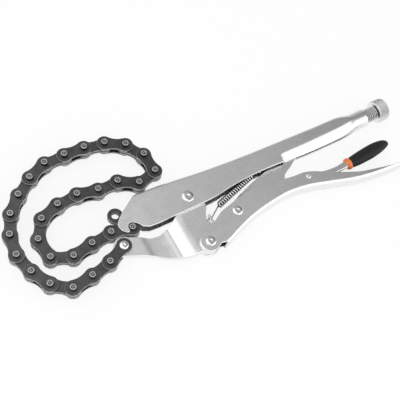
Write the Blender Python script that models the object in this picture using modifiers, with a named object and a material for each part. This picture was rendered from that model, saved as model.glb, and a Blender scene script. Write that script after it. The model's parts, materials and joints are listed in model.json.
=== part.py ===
"""Locking chain wrench for oil filters.

The wrench lies on its side, as on a bench. In the tool's own plane X runs along the
upper handle towards the knob and Y across it, with the jaw pivot at nought. Z is up.
The world's origin is under the middle of the whole object, where it rests.
"""
import bpy
import bmesh
from math import acos, asin, atan2, cos, degrees, hypot, pi, radians, sin
from mathutils import Vector

MM = 0.001

# Fits and working allowances
FIT = 0.3 * MM
OVERRUN = 4.0 * MM
WELD = 0.002 * MM

# Chain
CHAIN_PITCH = 15.875 * MM
EYE_RADIUS = 5.9 * MM
WAIST_HALF = 4.3 * MM
LINK_PLATE = 1.5 * MM
INNER_GAP = 1.2 * MM
PIN_RADIUS = 2.6 * MM
PIN_PROUD = 3.0 * MM
BUSH_WALL = 1.4 * MM
OUTER_RUN_TURNS = (-12, -5, -45, -25, -13, -22, -18, -19, -10, -12, -23, -3, -8, -20, -27, -29)
INNER_RUN_TURNS = (-44, 30, -12, 17, 15, 37, 40, 60, 33, -4, -19)
END_LINK_TURN = 127
EXTRA_BEND = 10
CROWN_BACK = 11.1 * MM
CROWN_RISE = 30.5 * MM

# Sheet metal
SHEET = 2.0 * MM
JAW_SHEET = 1.6 * MM

# Places in the tool's plane, from the jaw pivot
ANCHOR_BACK = 59.6 * MM
ANCHOR_DROP = 12.4 * MM
HOOK_BACK = 47.8 * MM
HOOK_DROP = 3.0 * MM
HINGE_BACK = 2.8 * MM
HINGE_DROP = 38.5 * MM
LINK_PIN_AHEAD = 30.5 * MM
LINK_PIN_RISE = 12.0 * MM
LINK_REACH = 82.3 * MM

# Upper handle
UPPER_REACH = 168.0 * MM
UPPER_TOP = 19.5 * MM
UPPER_EDGE = 9.0 * MM
TUBE_RADIUS = 7.5 * MM
NOSE_HALF_WIDTH = 6.3 * MM
NOSE_REACH = 9.2 * MM
NOTCH_SLACK = 0.4 * MM
SPRING_TAB_AHEAD = 61.0 * MM
SPRING_TAB_DROP = 4.5 * MM
SPRING_TAB_HALF = 2.6 * MM

# Lower jaw
TANG_RADIUS = 7.6 * MM
JAW_BOSS_RADIUS = 9.0 * MM
JAW_HINGE_RADIUS = 6.8 * MM
JAW_FLOOR = 1.8 * MM
TANG_END_BACK = 43.0 * MM
CREASE_BACK = 24.4 * MM
YOKE_BACK = 9.7 * MM
CREASE_RISE = 0.9 * MM
SPRING_EAR_AHEAD = 8.0 * MM
SPRING_EAR_DROP = 21.0 * MM
SPRING_EAR_HALF_LENGTH = 5.4 * MM

# Lower handle
LOWER_REACH = 169.5 * MM
LOWER_DROP = 51.5 * MM
LEVER_PIN_SHARES = (0.54749, -0.5165)
LOWER_EDGE_SHARE = 0.4
LOWER_FRONT_RADIUS = 7.5 * MM
LOWER_CORNER = 3.0 * MM

# Toggle link
LINK_FRONT_RADIUS = 7.0 * MM
LINK_NOSE_RADIUS = 3.0 * MM
LINK_NOSE_HALF = 2.6 * MM
LINK_TAPER_SHARES = (0.68, 0.76)
LINK_FLOOR = 2.0 * MM

# Release lever, its sleeve and its ring
LEVER_HALF = 1.6 * MM
LEVER_BOSS = 5.2 * MM
LEVER_REACH = 40.0 * MM
LEVER_DEPTH = 10.0 * MM
TANG_LENGTH = 34.0 * MM
TANG_HALF_HEIGHT = 3.0 * MM
TANG_LINE_DROP = 3.3 * MM
RING_BACK_SHARE = 0.925
RING_LENGTH = 3.8 * MM
RING_HALF_HEIGHT = 4.9 * MM
RING_HALF_WIDTH = 3.9 * MM
GRIP_LENGTH = 43.4 * MM
GRIP_HALF_HEIGHT = 5.4 * MM
GRIP_HALF_WIDTH = 3.8 * MM

# Adjusting screw and knob
THREAD_RADIUS = 6.0 * MM
THREAD_PITCH = 1.75 * MM
THREAD_DEPTH = 0.9 * MM
THREAD_LENGTH = 30.0 * MM
SHANK_RADIUS = 4.0 * MM
SCREW_GAP = 2.6 * MM
TIP_LENGTH = 2.6 * MM
TIP_STEM_RADIUS = 1.6 * MM
TIP_STEM_LENGTH = 4.0 * MM
TIP_CHAMFER = 0.5 * MM
KNOB_GAP = 12.0 * MM
KNOB_RADIUS = 9.4 * MM
KNOB_LENGTH = 9.4 * MM
KNOB_CHAMFER = 1.3 * MM
SPIGOT_LENGTH = 6.0 * MM

# Rivets: head radius, shaft radius and the height of the head
JAW_RIVET_HEAD = 4.8 * MM
JAW_RIVET_SHAFT = 3.2 * MM
PIVOT_RIVET_HEAD = 4.1 * MM
PIVOT_RIVET_SHAFT = 2.8 * MM
LEVER_RIVET_HEAD = 2.2 * MM
LEVER_RIVET_SHAFT = 1.5 * MM
ANCHOR_RIVET_HEAD = 3.5 * MM
ANCHOR_RIVET_SHAFT = 2.5 * MM
RIVET_HEAD_HEIGHT = 1.2 * MM

# Return spring
WIRE_RADIUS = 0.4 * MM
COIL_RADIUS = 1.8 * MM
COIL_PITCH = 1.65 * MM
COIL_POINTS = 8
COIL_START_AHEAD = 18.9 * MM
COIL_START_DROP = 15.0 * MM
COIL_END_AHEAD = 55.0 * MM
COIL_END_DROP = 4.6 * MM
HOOK_THROUGH = 2.2 * MM
HOOK_TURN = 2.6 * MM
WIRE_HOLE_RADIUS = 1.0 * MM

# Facets
ROUND_SIDES = 24
PIN_SIDES = 8
EYE_STEPS = 5
FLAT_ANGLE = radians(0.2)

# Sizes that follow from the ones above
INNER_HALF = INNER_GAP / 2 + LINK_PLATE
OUTER_INSIDE = INNER_HALF + FIT
OUTER_HALF = OUTER_INSIDE + LINK_PLATE
PIN_HALF = OUTER_HALF + PIN_PROUD
BORE_RADIUS = PIN_RADIUS + FIT
CHANNEL_HALF = NOSE_HALF_WIDTH - SHEET
YOKE_HALF = CHANNEL_HALF - FIT
ANCHOR = Vector((-ANCHOR_BACK, -ANCHOR_DROP))
HOOK = Vector((-HOOK_BACK, -HOOK_DROP))
CROWN = Vector((-CROWN_BACK, CROWN_RISE))
HINGE = Vector((-HINGE_BACK, -HINGE_DROP))
LINK_PIN = HINGE + Vector((LINK_PIN_AHEAD, LINK_PIN_RISE))
LINK_TIP = Vector((LINK_PIN.x + LINK_REACH, 0))
LEVER_PIN = Vector((LEVER_PIN_SHARES[0] * LOWER_REACH, LEVER_PIN_SHARES[1] * LOWER_DROP))
SPRING_EAR = Vector((SPRING_EAR_AHEAD, -SPRING_EAR_DROP))
SPRING_TAB = Vector((SPRING_TAB_AHEAD, -SPRING_TAB_DROP + COIL_RADIUS))
RING_BACK = RING_BACK_SHARE * LEVER_REACH
KNOB_START = UPPER_REACH + KNOB_GAP
KNOB_END = KNOB_START + KNOB_LENGTH
SCREW_START = LINK_TIP.x + SCREW_GAP

# Upper handle sections: along, top, edge, half width, corner radius, how far the edges
# curl, and half the gap between them, which is wide where the toggle link passes through
UPPER_SECTION_SHARES = (
    (-0.357, 1.118, 1.200, 0.840, 0.400, 0.0, 0.44),
    (-0.202, 1.000, 1.200, 0.840, 0.400, 0.0, 0.44),
    (-0.042, 0.897, 1.200, 0.840, 0.400, 0.0, 0.44),
    (0.113, 0.749, 1.200, 0.840, 0.400, 0.0, 0.44),
    (0.321, 0.615, 1.200, 0.840, 0.400, 0.0, 0.44),
    (0.452, 0.559, 1.200, 0.867, 0.400, 0.0, 0.44),
    (0.554, 0.523, 1.200, 0.893, 0.400, 0.0, 0.44),
    (0.568, 0.519, 0.956, 0.893, 0.400, 0.0, 0.44),
    (0.583, 0.513, 0.930, 0.900, 0.400, 0.6, 0.44),
    (0.600, 0.508, 0.915, 0.905, 0.400, 1.0, 0.44),
    (0.645, 0.490, 0.925, 0.913, 0.400, 1.0, 0.44),
    (0.670, 0.482, 0.935, 0.918, 0.400, 1.0, 0.08),
    (0.720, 0.462, 0.956, 0.933, 0.400, 1.0, 0.08),
    (0.845, 0.446, 0.989, 0.960, 0.427, 1.0, 0.08),
    (0.893, 0.410, 0.900, 0.987, 0.667, 1.0, 0.08),
    (0.929, 0.385, 0.833, 1.000, 0.950, 1.0, 0.08),
    (1.000, 0.385, 0.833, 1.000, 0.950, 1.0, 0.08),
)
UPPER_EDGE_SHARES = (
    (-0.217, -0.933), (-0.176, -1.000), (-0.100, -1.022), (0.028, -1.056),
    (0.115, -1.022), (0.196, -0.844), (0.294, -0.700), (0.405, -0.711),
    (0.500, -0.811), (0.567, -0.944),
)
NOSE_SHARES = (
    (1.380, 2.424), (-0.054, 1.522), (-0.728, 0.967), (-0.957, 0.674),
    (-1.000, 0.348), (-0.880, 0.011), (-0.641, -0.239), (-0.446, -0.315),
)
NOTCH_WALL_SHARES = ((0.457, 0.065), (0.793, -0.348))

# Lower jaw outline, as shares of the anchor's reach and the hinge's drop
JAW_TOP_SHARES = (
    (-0.881, -0.213), (-0.755, -0.312), (-0.680, -0.395), (-0.611, -0.426),
    (-0.554, -0.439), (-0.461, -0.400), (-0.419, -0.392), (-0.367, -0.348),
    (-0.235, -0.208),
)
JAW_REAR_SHARES = (
    (0.153, -0.130), (0.153, -0.317), (0.096, -0.455), (0.070, -0.582),
    (0.092, -0.668), (0.155, -0.712),
)
JAW_BOTTOM_SHARES = (
    (-0.181, -1.086), (-0.347, -1.055), (-0.498, -0.987), (-0.651, -0.855),
    (-0.696, -0.790), (-0.847, -0.647),
)

# Lower handle: its top edge, and the height of its folded floor
LOWER_TOP_SHARES = (
    (1.000, -0.998), (0.994, -0.963), (0.946, -0.930), (0.860, -0.866),
    (0.793, -0.810), (0.738, -0.736), (0.661, -0.612), (0.618, -0.536),
    (0.575, -0.466), (0.537, -0.427), (0.491, -0.416), (0.444, -0.392),
    (0.385, -0.351), (0.319, -0.332), (0.235, -0.324), (0.201, -0.346),
    (0.143, -0.386), (0.096, -0.425), (0.051, -0.501), (0.009, -0.561),
)
LOWER_FLOOR_SHARES = (
    (-0.083, -1.087), (0.040, -1.087), (0.047, -0.893), (0.071, -0.870),
    (0.126, -0.802), (0.230, -0.703), (0.324, -0.654), (0.419, -0.633),
    (0.472, -0.647), (0.543, -0.689), (0.619, -0.763), (0.696, -0.843),
    (0.773, -0.913), (0.861, -0.961), (0.956, -0.990), (1.009, -1.002),
)
LOWER_CUTOUT_SHARES = ((0.009, -0.866), (0.028, -0.839), (0.050, -0.866))

# Toggle link outline from its front pin, as shares of its reach and rise
LINK_TOP_SHARES = (
    (0.016, 0.302), (0.210, 0.540), (0.417, 0.713), (0.635, 0.894),
    (0.854, 1.045), (0.951, 1.113),
)
LINK_UNDER_SHARES = (
    (0.964, 0.879), (0.878, 0.789), (0.795, 0.683), (0.713, 0.532),
    (0.629, 0.411), (0.594, 0.283), (0.514, 0.264), (0.271, 0.019),
    (0.077, -0.208),
)

# Release lever outline from its pivot, and the sleeve's sections along its length
LEVER_TOP_SHARES = ((0.880, -0.030), (0.688, -0.100), (0.410, 0.020), (0.155, 0.400))
LEVER_NOSE_SHARES = ((-0.340, 0.330), (-0.365, 0.150), (-0.330, -0.050), (-0.190, -0.200))
LEVER_UNDER_SHARES = ((-0.095, -0.460), (0.105, -0.520), (0.380, -0.640), (0.673, -0.630), (0.880, -0.630))
GRIP_SECTION_SHARES = (
    (0.000, -0.027, 0.790), (0.097, 0.000, 0.893), (0.318, 0.089, 1.000),
    (0.512, 0.179, 1.036), (0.673, 0.268, 0.982), (0.811, 0.321, 0.839),
    (0.915, 0.357, 0.643), (0.979, 0.330, 0.402), (1.000, 0.320, 0.180),
)


def clear_scene():
    for item in list(bpy.data.objects):
        bpy.data.objects.remove(item, do_unlink=True)


def new_collection(name):
    collection = bpy.data.collections.new(name)
    bpy.context.scene.collection.children.link(collection)
    return collection


clear_scene()
PARTS = new_collection("chain_wrench")
CUTTERS = new_collection("cutters")


def principled(name, colour, roughness, metallic):
    material = bpy.data.materials.new(name)
    material.use_nodes = True
    shader = material.node_tree.nodes["Principled BSDF"]
    shader.inputs["Base Color"].default_value = (*colour, 1)
    shader.inputs["Roughness"].default_value = roughness
    shader.inputs["Metallic"].default_value = metallic
    return material


def add_empty(name, place, parent=None):
    empty = bpy.data.objects.new(name, None)
    empty.location = place
    empty.parent = parent
    PARTS.objects.link(empty)
    return empty


def arc(centre, radius, first, last, steps):
    """Points on an arc about centre, from angle first to last in degrees."""
    turns = [radians(first + (last - first) * i / steps) for i in range(steps + 1)]
    return [Vector((centre[0] + radius * cos(t), centre[1] + radius * sin(t))) for t in turns]


def spread(shares, along, across, origin=(0, 0)):
    """Turn a table of shares into points of real size."""
    return [Vector((origin[0] + a * along, origin[1] + b * across)) for a, b in shares]


def mesh_of(item):
    """The evaluated mesh of a curve or mesh object, welded, with its faces pointing out."""
    bpy.context.view_layer.update()
    graph = bpy.context.evaluated_depsgraph_get()
    mesh = bpy.data.meshes.new_from_object(item.evaluated_get(graph), depsgraph=graph)
    work = bmesh.new()
    work.from_mesh(mesh)
    bmesh.ops.remove_doubles(work, verts=work.verts, dist=WELD)
    bmesh.ops.recalc_face_normals(work, faces=work.faces)
    bmesh.ops.dissolve_limit(work, angle_limit=FLAT_ANGLE, verts=work.verts, edges=work.edges)
    work.to_mesh(mesh)
    work.free()
    return mesh


def add_object(name, mesh, collection=None):
    item = bpy.data.objects.new(name, mesh)
    (collection or CUTTERS).objects.link(item)
    return item


def flat_solid(name, loops, half, lift=0):
    """A plate: a filled 2D curve, extruded half its thickness each way, made a mesh."""
    curve = bpy.data.curves.new(name, "CURVE")
    curve.dimensions = "2D"
    curve.fill_mode = "BOTH"
    curve.extrude = half
    curve.resolution_u = 1
    curve.render_resolution_u = 0
    for loop in loops:
        spline = curve.splines.new("POLY")
        spline.points.add(len(loop) - 1)
        for point, place in zip(spline.points, loop):
            point.co = (place[0], place[1], 0, 1)
        spline.use_cyclic_u = True
    drawn = add_object(name, curve)
    mesh = mesh_of(drawn)
    for vertex in mesh.vertices:
        vertex.co.z += lift
    bpy.data.objects.remove(drawn)
    mesh.name = name
    return mesh


def cylinder(name, radius, half, centre=(0, 0, 0), sides=ROUND_SIDES):
    """A cylinder along Z, as a mesh."""
    work = bmesh.new()
    bmesh.ops.create_cone(
        work, cap_ends=True, segments=sides, radius1=radius, radius2=radius, depth=2 * half
    )
    bmesh.ops.translate(work, vec=centre, verts=work.verts)
    mesh = bpy.data.meshes.new(name)
    work.to_mesh(mesh)
    work.free()
    return mesh


def box(name, low, high):
    work = bmesh.new()
    bmesh.ops.create_cube(work, size=1)
    middle = [(a + b) / 2 for a, b in zip(low, high)]
    sizes = [b - a for a, b in zip(low, high)]
    bmesh.ops.scale(work, vec=sizes, verts=work.verts)
    bmesh.ops.translate(work, vec=middle, verts=work.verts)
    mesh = bpy.data.meshes.new(name)
    work.to_mesh(mesh)
    work.free()
    return mesh


def hide_cutter(item):
    item.hide_render = True
    item.display_type = "WIRE"


def combine(item, mesh, operation):
    """Cut item with a mesh drawn in item's own axes, join it on, or keep the overlap."""
    other = add_object(f"{item.name}_{mesh.name}", mesh)
    other.parent = item
    hide_cutter(other)
    modifier = item.modifiers.new(mesh.name, "BOOLEAN")
    modifier.operation = operation
    modifier.solver = "EXACT"
    modifier.object = other
    return modifier


def finish(item, material, parent, place=(0, 0, 0), turn=(0, 0, 0)):
    """Put a finished piece in the part's collection, in its place and with its material."""
    for collection in list(item.users_collection):
        collection.objects.unlink(item)
    PARTS.objects.link(item)
    item.data.materials.clear()
    item.data.materials.append(material)
    item.parent = parent
    item.location = place
    item.rotation_euler = turn
    item.data.shade_smooth()
    item.data.set_sharp_from_angle(angle=radians(35))
    return item


def apply_all(item):
    """Replace an object and its cutters by its evaluated mesh."""
    mesh = mesh_of(item)
    for child in list(item.children):
        bpy.data.objects.remove(child)
    bpy.data.objects.remove(item)
    return mesh


def turned(name, profile, steps):
    """A turned shape about Z: a profile of (radius, height), from its top down its outside."""
    mesh = bpy.data.meshes.new(name)
    edges = [(i, i + 1) for i in range(len(profile) - 1)]
    mesh.from_pydata([(r, 0, h) for r, h in profile], edges, [])
    item = add_object(name, mesh)
    screw = item.modifiers.new("turn", "SCREW")
    screw.steps = steps
    screw.render_steps = steps
    screw.use_merge_vertices = True
    screw.merge_threshold = WELD
    screw.use_normal_calculate = True
    return item


def about(points, centre):
    return [Vector((p[0] - centre[0], p[1] - centre[1])) for p in points]


def at(point, height=0):
    return Vector((point[0], point[1], height))


def chain_run(turns, extra):
    """Pin places of a run of links that starts along X, each bent by its turn and extra."""
    heading, place = 0, Vector((0, 0))
    places = [place.copy()]
    for turn in (-extra, *turns):
        heading += radians(turn + extra)
        place = place + CHAIN_PITCH * Vector((cos(heading), sin(heading)))
        places.append(place)
    return places


def laid_run(turns, start, end):
    """A run from start to end, bent a little more or less at each pin until it fits."""
    span = (end - start).length
    closing = 1 if sum(turns) > 0 else -1
    low, high = -EXTRA_BEND, EXTRA_BEND
    for _ in range(40):
        extra = (low + high) / 2
        places = chain_run(turns, closing * extra)
        low, high = (extra, high) if places[-1].length > span else (low, extra)
    far = places[-1]
    swing = atan2(end.y - start.y, end.x - start.x) - atan2(far.y, far.x)
    c, s = cos(swing), sin(swing)
    return [start + Vector((p.x * c - p.y * s, p.x * s + p.y * c)) for p in places]


def chain_route():
    """Pin centres from the anchor round the loop to the hook, then the free eye."""
    pins = laid_run(OUTER_RUN_TURNS, ANCHOR, CROWN) + laid_run(INNER_RUN_TURNS, CROWN, HOOK)[1:]
    last = pins[-1] - pins[-2]
    heading = atan2(last.y, last.x) + radians(END_LINK_TURN)
    pins.append(pins[-1] + CHAIN_PITCH * Vector((cos(heading), sin(heading))))
    return pins


PINS = chain_route()
LOOP_LEFT = min(p.x for p in PINS) - EYE_RADIUS
LOOP_TOP = max(p.y for p in PINS) + EYE_RADIUS
HANDLE_LOW = LOWER_DROP * LOWER_FLOOR_SHARES[-1][1]
MIDDLE = Vector(((LOOP_LEFT + KNOB_END) / 2, (LOOP_TOP + HANDLE_LOW) / 2))
REST_HEIGHT = KNOB_RADIUS


def link_outline():
    """A chain plate: two round eyes and a waist of two arcs that meet them smoothly."""
    narrowing = EYE_RADIUS - WAIST_HALF
    half = CHAIN_PITCH / 2
    centre = (half ** 2 - narrowing ** 2) / (2 * narrowing)
    waist_radius = centre - WAIST_HALF
    meet = degrees(atan2(centre, half))
    right = arc((CHAIN_PITCH, 0), EYE_RADIUS, -180 + meet, 180 - meet, EYE_STEPS)
    left = arc((0, 0), EYE_RADIUS, meet, 360 - meet, EYE_STEPS)
    upper = [Vector((half, centre - waist_radius))]
    lower = [Vector((half, waist_radius - centre))]
    return right + upper + left + lower


def outer_link_mesh(both_pins):
    """Two outer plates with their riveted pins, or with one pin and one open eye."""
    lift = OUTER_INSIDE + LINK_PLATE / 2
    loops = [link_outline()]
    if not both_pins:
        loops.append(arc((0, 0), ANCHOR_RIVET_SHAFT + FIT, 0, 360 - 360 / PIN_SIDES, PIN_SIDES - 1))
    item = add_object("outer_link", flat_solid("upper_plate", loops, LINK_PLATE / 2, lift))
    combine(item, flat_solid("lower_plate", loops, LINK_PLATE / 2, -lift), "UNION")
    for count, x in enumerate((0, CHAIN_PITCH)):
        if both_pins or count:
            combine(item, pin_mesh(f"pin_{count}", x), "UNION")
    return apply_all(item)


def pin_mesh(name, x):
    return cylinder(name, PIN_RADIUS, PIN_HALF, (x, 0, 0), PIN_SIDES)


def inner_link_mesh():
    """Two inner plates held apart by a bush round each hole."""
    lift = (INNER_GAP + LINK_PLATE) / 2
    outline = link_outline()
    item = add_object("inner_link", flat_solid("upper_plate", [outline], LINK_PLATE / 2, lift))
    combine(item, flat_solid("lower_plate", [outline], LINK_PLATE / 2, -lift), "UNION")
    for count, x in enumerate((0, CHAIN_PITCH)):
        bush = cylinder(f"bush_{count}", BORE_RADIUS + BUSH_WALL, lift, (x, 0, 0), PIN_SIDES)
        combine(item, bush, "UNION")
    for count, x in enumerate((0, CHAIN_PITCH)):
        bore = cylinder(f"bore_{count}", BORE_RADIUS, INNER_HALF + OVERRUN, (x, 0, 0), PIN_SIDES)
        combine(item, bore, "DIFFERENCE")
    return apply_all(item)


def build_chain(frame):
    black = principled("chain_black", (0.030, 0.030, 0.032), 0.42, 0.85)
    first = outer_link_mesh(False)
    outer = outer_link_mesh(True)
    inner = inner_link_mesh()
    for number in range(1, len(PINS)):
        start, end = PINS[number - 1], PINS[number]
        mesh = inner if number % 2 == 0 else (first if number == 1 else outer)
        item = add_object(f"chain_link_{number:02d}", mesh)
        heading = atan2(end.y - start.y, end.x - start.x)
        finish(item, black, frame, at(start), (0, 0, heading))


def channel_skin(name, sections, opens_down, steps):
    """The outer skin of a folded channel, lofted along X, to be thickened inwards.

    Each section is its place along X, the height of the web, the height of the two edges,
    the half width, the corner radius, how far the edges curl under, from 0 to 1, and
    half the gap between the edges.
    """
    side = 1 if opens_down else -1
    rows = []
    for along, web, edge, half, corner, curl, gap in sections:
        depth = abs(web - edge)
        reach = half - gap
        angle = curl * (pi / 2 if corner <= reach - FIT else acos(1 - (reach - FIT) / corner))
        flange = max(FIT, half - corner - gap)
        wall_end = depth - corner * sin(angle) - flange * cos(angle)
        row = [(0, 0)]
        row += [
            (half - corner + corner * sin(pi / 2 * i / steps), corner - corner * cos(pi / 2 * i / steps))
            for i in range(steps + 1)
        ]
        bend = [angle * i / steps for i in range(steps + 1)]
        row += [(half - corner * (1 - cos(t)), wall_end + corner * sin(t)) for t in bend]
        last_z, last_depth = row[-1]
        row.append((last_z - flange * sin(angle), last_depth + flange * cos(angle)))
        full = [(-z, d) for z, d in reversed(row[1:])] + row
        rows.append([(along, web - side * d, z) for z, d in full])
    width = len(rows[0])
    mesh = bpy.data.meshes.new(name)
    corners = [point for row in rows for point in row]
    faces = []
    for i in range(len(rows) - 1):
        for j in range(width - 1):
            a = i * width + j
            quad = (a, a + 1, a + 1 + width, a + width)
            faces.append(quad if opens_down else quad[::-1])
    mesh.from_pydata(corners, [], faces)
    work = bmesh.new()
    work.from_mesh(mesh)
    bmesh.ops.remove_doubles(work, verts=work.verts, dist=WELD)
    work.to_mesh(mesh)
    work.free()
    item = add_object(name, mesh)
    shell = item.modifiers.new("sheet", "SOLIDIFY")
    shell.thickness = SHEET
    shell.offset = -1
    shell.use_even_offset = True
    shell.use_quality_normals = True
    return item


def upper_outline():
    """Side view of the upper handle's nose, hook and lower edge, open behind."""
    notch = arc(HOOK, PIN_RADIUS + NOTCH_SLACK, 205, 40, 8)
    wall = spread(NOTCH_WALL_SHARES, NOSE_REACH, NOSE_REACH, HOOK)
    edge = spread(UPPER_EDGE_SHARES, UPPER_REACH, UPPER_EDGE)
    nose = spread(NOSE_SHARES, NOSE_REACH, NOSE_REACH, HOOK)
    far = UPPER_REACH + OVERRUN
    low, high = -2 * UPPER_TOP, 2 * UPPER_TOP
    behind = [(edge[-1].x, low), (far, low), (far, high), (nose[0].x, high)]
    return nose + notch + wall + edge + [Vector(p) for p in behind]


def build_upper_handle(frame, steel):
    sections = [
        (a * UPPER_REACH, b * UPPER_TOP, -c * UPPER_EDGE, d * TUBE_RADIUS, e * TUBE_RADIUS, f, g * TUBE_RADIUS)
        for a, b, c, d, e, f, g in UPPER_SECTION_SHARES
    ]
    item = channel_skin("upper_handle", sections, True, 4)
    combine(item, flat_solid("side_view", [upper_outline()], TUBE_RADIUS + OVERRUN), "INTERSECT")
    tab_high = (UPPER_SECTION_SHARES[4][1] * UPPER_TOP) - SHEET / 2
    tab_low = SPRING_TAB.y - SPRING_TAB_HALF
    tab = box(
        "spring_tab",
        (SPRING_TAB.x - JAW_SHEET / 2, tab_low, -SPRING_TAB_HALF),
        (SPRING_TAB.x + JAW_SHEET / 2, tab_high, SPRING_TAB_HALF),
    )
    combine(item, tab, "UNION")
    hole = cylinder("spring_hole", WIRE_HOLE_RADIUS, OVERRUN, sides=PIN_SIDES)
    turn_to_x(hole, (SPRING_TAB.x, SPRING_TAB.y, 0))
    combine(item, hole, "DIFFERENCE")
    bore_start = UPPER_REACH - THREAD_LENGTH * 2 / 3
    bore_half = (UPPER_REACH + OVERRUN - bore_start) / 2
    bore = cylinder("screw_bore", THREAD_RADIUS + FIT, bore_half)
    turn_to_x(bore, (bore_start + bore_half, 0, 0))
    combine(item, bore, "DIFFERENCE")
    hole = cylinder("pivot_hole", JAW_RIVET_SHAFT + FIT, TUBE_RADIUS + OVERRUN, sides=16)
    combine(item, hole, "DIFFERENCE")
    finish(item, steel, frame)


def turn_to_x(mesh, centre):
    """Lay a mesh that was drawn along Z along X, about its middle."""
    for vertex in mesh.vertices:
        x, y, z = vertex.co
        vertex.co = (z + centre[0], y + centre[1], -x + centre[2])


def jaw_outline():
    top = spread(JAW_TOP_SHARES, ANCHOR_BACK, HINGE_DROP)
    boss = arc((0, 0), JAW_BOSS_RADIUS, 225, 0, 10)
    rear = spread(JAW_REAR_SHARES, ANCHOR_BACK, HINGE_DROP)
    hinge = arc(HINGE, JAW_HINGE_RADIUS, 20, -120, 6)
    bottom = spread(JAW_BOTTOM_SHARES, ANCHOR_BACK, HINGE_DROP)
    tang = arc(ANCHOR, TANG_RADIUS, -110, -325, 9)
    return top + boss + rear + hinge + bottom + tang


def jaw_section(inset):
    """The jaw's half widths along X, from the thin tang to the yoke, less inset."""
    crease = INNER_HALF + CREASE_RISE
    ends = (-ANCHOR_BACK - TANG_RADIUS - OVERRUN, JAW_BOSS_RADIUS + 2 * OVERRUN)
    half = [
        (ends[0], INNER_HALF), (-TANG_END_BACK, INNER_HALF), (-CREASE_BACK, crease),
        (-YOKE_BACK, YOKE_HALF), (ends[1], YOKE_HALF),
    ]
    return both_sides(half, inset)


def both_sides(half, inset):
    """An outline in X and Z from half widths along X, drawn in by inset."""
    near = [Vector((x, z - inset)) for x, z in half]
    far = [Vector((x, inset - z)) for x, z in reversed(half)]
    return near + far


def section_solid(name, outline, reach):
    """A section drawn in X and Z, stretched along Y past the piece."""
    mesh = flat_solid(name, [outline], reach)
    for vertex in mesh.vertices:
        x, y, z = vertex.co
        vertex.co = (x, -z, y)
    return mesh


def build_jaw(frame, steel):
    item = add_object("lower_jaw", flat_solid("jaw_plate", [jaw_outline()], YOKE_HALF + FIT))
    combine(item, section_solid("jaw_widths", jaw_section(0), HINGE_DROP * 2), "INTERSECT")
    hollow = add_object("hollow", section_solid("hollow", jaw_section(JAW_SHEET), HINGE_DROP * 2))
    lift = [Vector((p.x, p.y + JAW_FLOOR)) for p in jaw_floor_line()]
    roof = JAW_BOSS_RADIUS + OVERRUN
    ends = [Vector((lift[-1].x, roof)), Vector((lift[0].x, roof))]
    combine(hollow, flat_solid("hollow_view", [lift + ends], YOKE_HALF), "INTERSECT")
    combine(item, apply_all(hollow), "DIFFERENCE")
    ear = box(
        "spring_ear",
        (SPRING_EAR.x - JAW_SHEET / 2, SPRING_EAR.y - SPRING_EAR_HALF_LENGTH * 1.3, JAW_SHEET - YOKE_HALF - FIT),
        (SPRING_EAR.x + JAW_SHEET / 2, SPRING_EAR.y + SPRING_EAR_HALF_LENGTH / 2, YOKE_HALF + FIT - JAW_SHEET),
    )
    combine(item, ear, "UNION")
    hole = cylinder("ear_hole", WIRE_HOLE_RADIUS, OVERRUN, sides=PIN_SIDES)
    turn_to_x(hole, (SPRING_EAR.x, SPRING_EAR.y, 0))
    combine(item, hole, "DIFFERENCE")
    drill(item, "anchor_hole", ANCHOR, ANCHOR_RIVET_SHAFT)
    drill(item, "jaw_hole", (0, 0), JAW_RIVET_SHAFT)
    drill(item, "hinge_hole", HINGE, PIVOT_RIVET_SHAFT)
    finish(item, steel, frame)


def jaw_floor_line():
    """The jaw's lower edge from the tang to the rear, which its folded floor follows."""
    bottom = spread(JAW_BOTTOM_SHARES, ANCHOR_BACK, HINGE_DROP)
    tang = Vector((ANCHOR.x - TANG_RADIUS - OVERRUN, ANCHOR.y - TANG_RADIUS + JAW_FLOOR))
    front = [tang, Vector((ANCHOR.x, ANCHOR.y - TANG_RADIUS + JAW_FLOOR))]
    line = list(reversed(bottom)) + [Vector((HINGE.x, HINGE.y - JAW_HINGE_RADIUS))]
    rear = Vector((JAW_BOSS_RADIUS + OVERRUN, HINGE.y - JAW_HINGE_RADIUS))
    return front + line + [rear]


def drill(item, name, centre, shaft):
    half = TUBE_RADIUS + OVERRUN
    combine(item, cylinder(name, shaft + FIT, half, at(centre), sides=16), "DIFFERENCE")


def build_lower_handle(frame, steel):
    floor = spread(LOWER_FLOOR_SHARES, LOWER_REACH, LOWER_DROP)
    top = -LEVER_PIN.y * LOWER_EDGE_SHARE
    sections = [(p.x, p.y, -top, NOSE_HALF_WIDTH, LOWER_CORNER, 0, NOSE_HALF_WIDTH / 2) for p in floor]
    item = channel_skin("lower_handle", sections, False, 3)
    front = arc(HINGE, LOWER_FRONT_RADIUS, 96, 300, 10)
    cutout = spread(LOWER_CUTOUT_SHARES, LOWER_REACH, LOWER_DROP)
    low = -LOWER_DROP * 1.3
    under = [Vector((cutout[-1].x, low)), Vector((LOWER_REACH, low))]
    outline = spread(LOWER_TOP_SHARES, LOWER_REACH, LOWER_DROP) + front + cutout + under
    view = flat_solid("side_view", [outline], NOSE_HALF_WIDTH + OVERRUN)
    combine(item, view, "INTERSECT")
    drill(item, "hinge_hole", HINGE, PIVOT_RIVET_SHAFT)
    drill(item, "link_hole", LINK_PIN, PIVOT_RIVET_SHAFT)
    drill(item, "lever_hole", LEVER_PIN, LEVER_RIVET_SHAFT)
    set_origin(item, HINGE)
    finish(item, steel, frame, at(HINGE))


def set_origin(item, centre):
    """Move the meshes of a piece and its cutters so that its origin lies on its axis."""
    for mesh in {item.data, *[child.data for child in item.children]}:
        for vertex in mesh.vertices:
            vertex.co.x -= centre[0]
            vertex.co.y -= centre[1]


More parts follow.
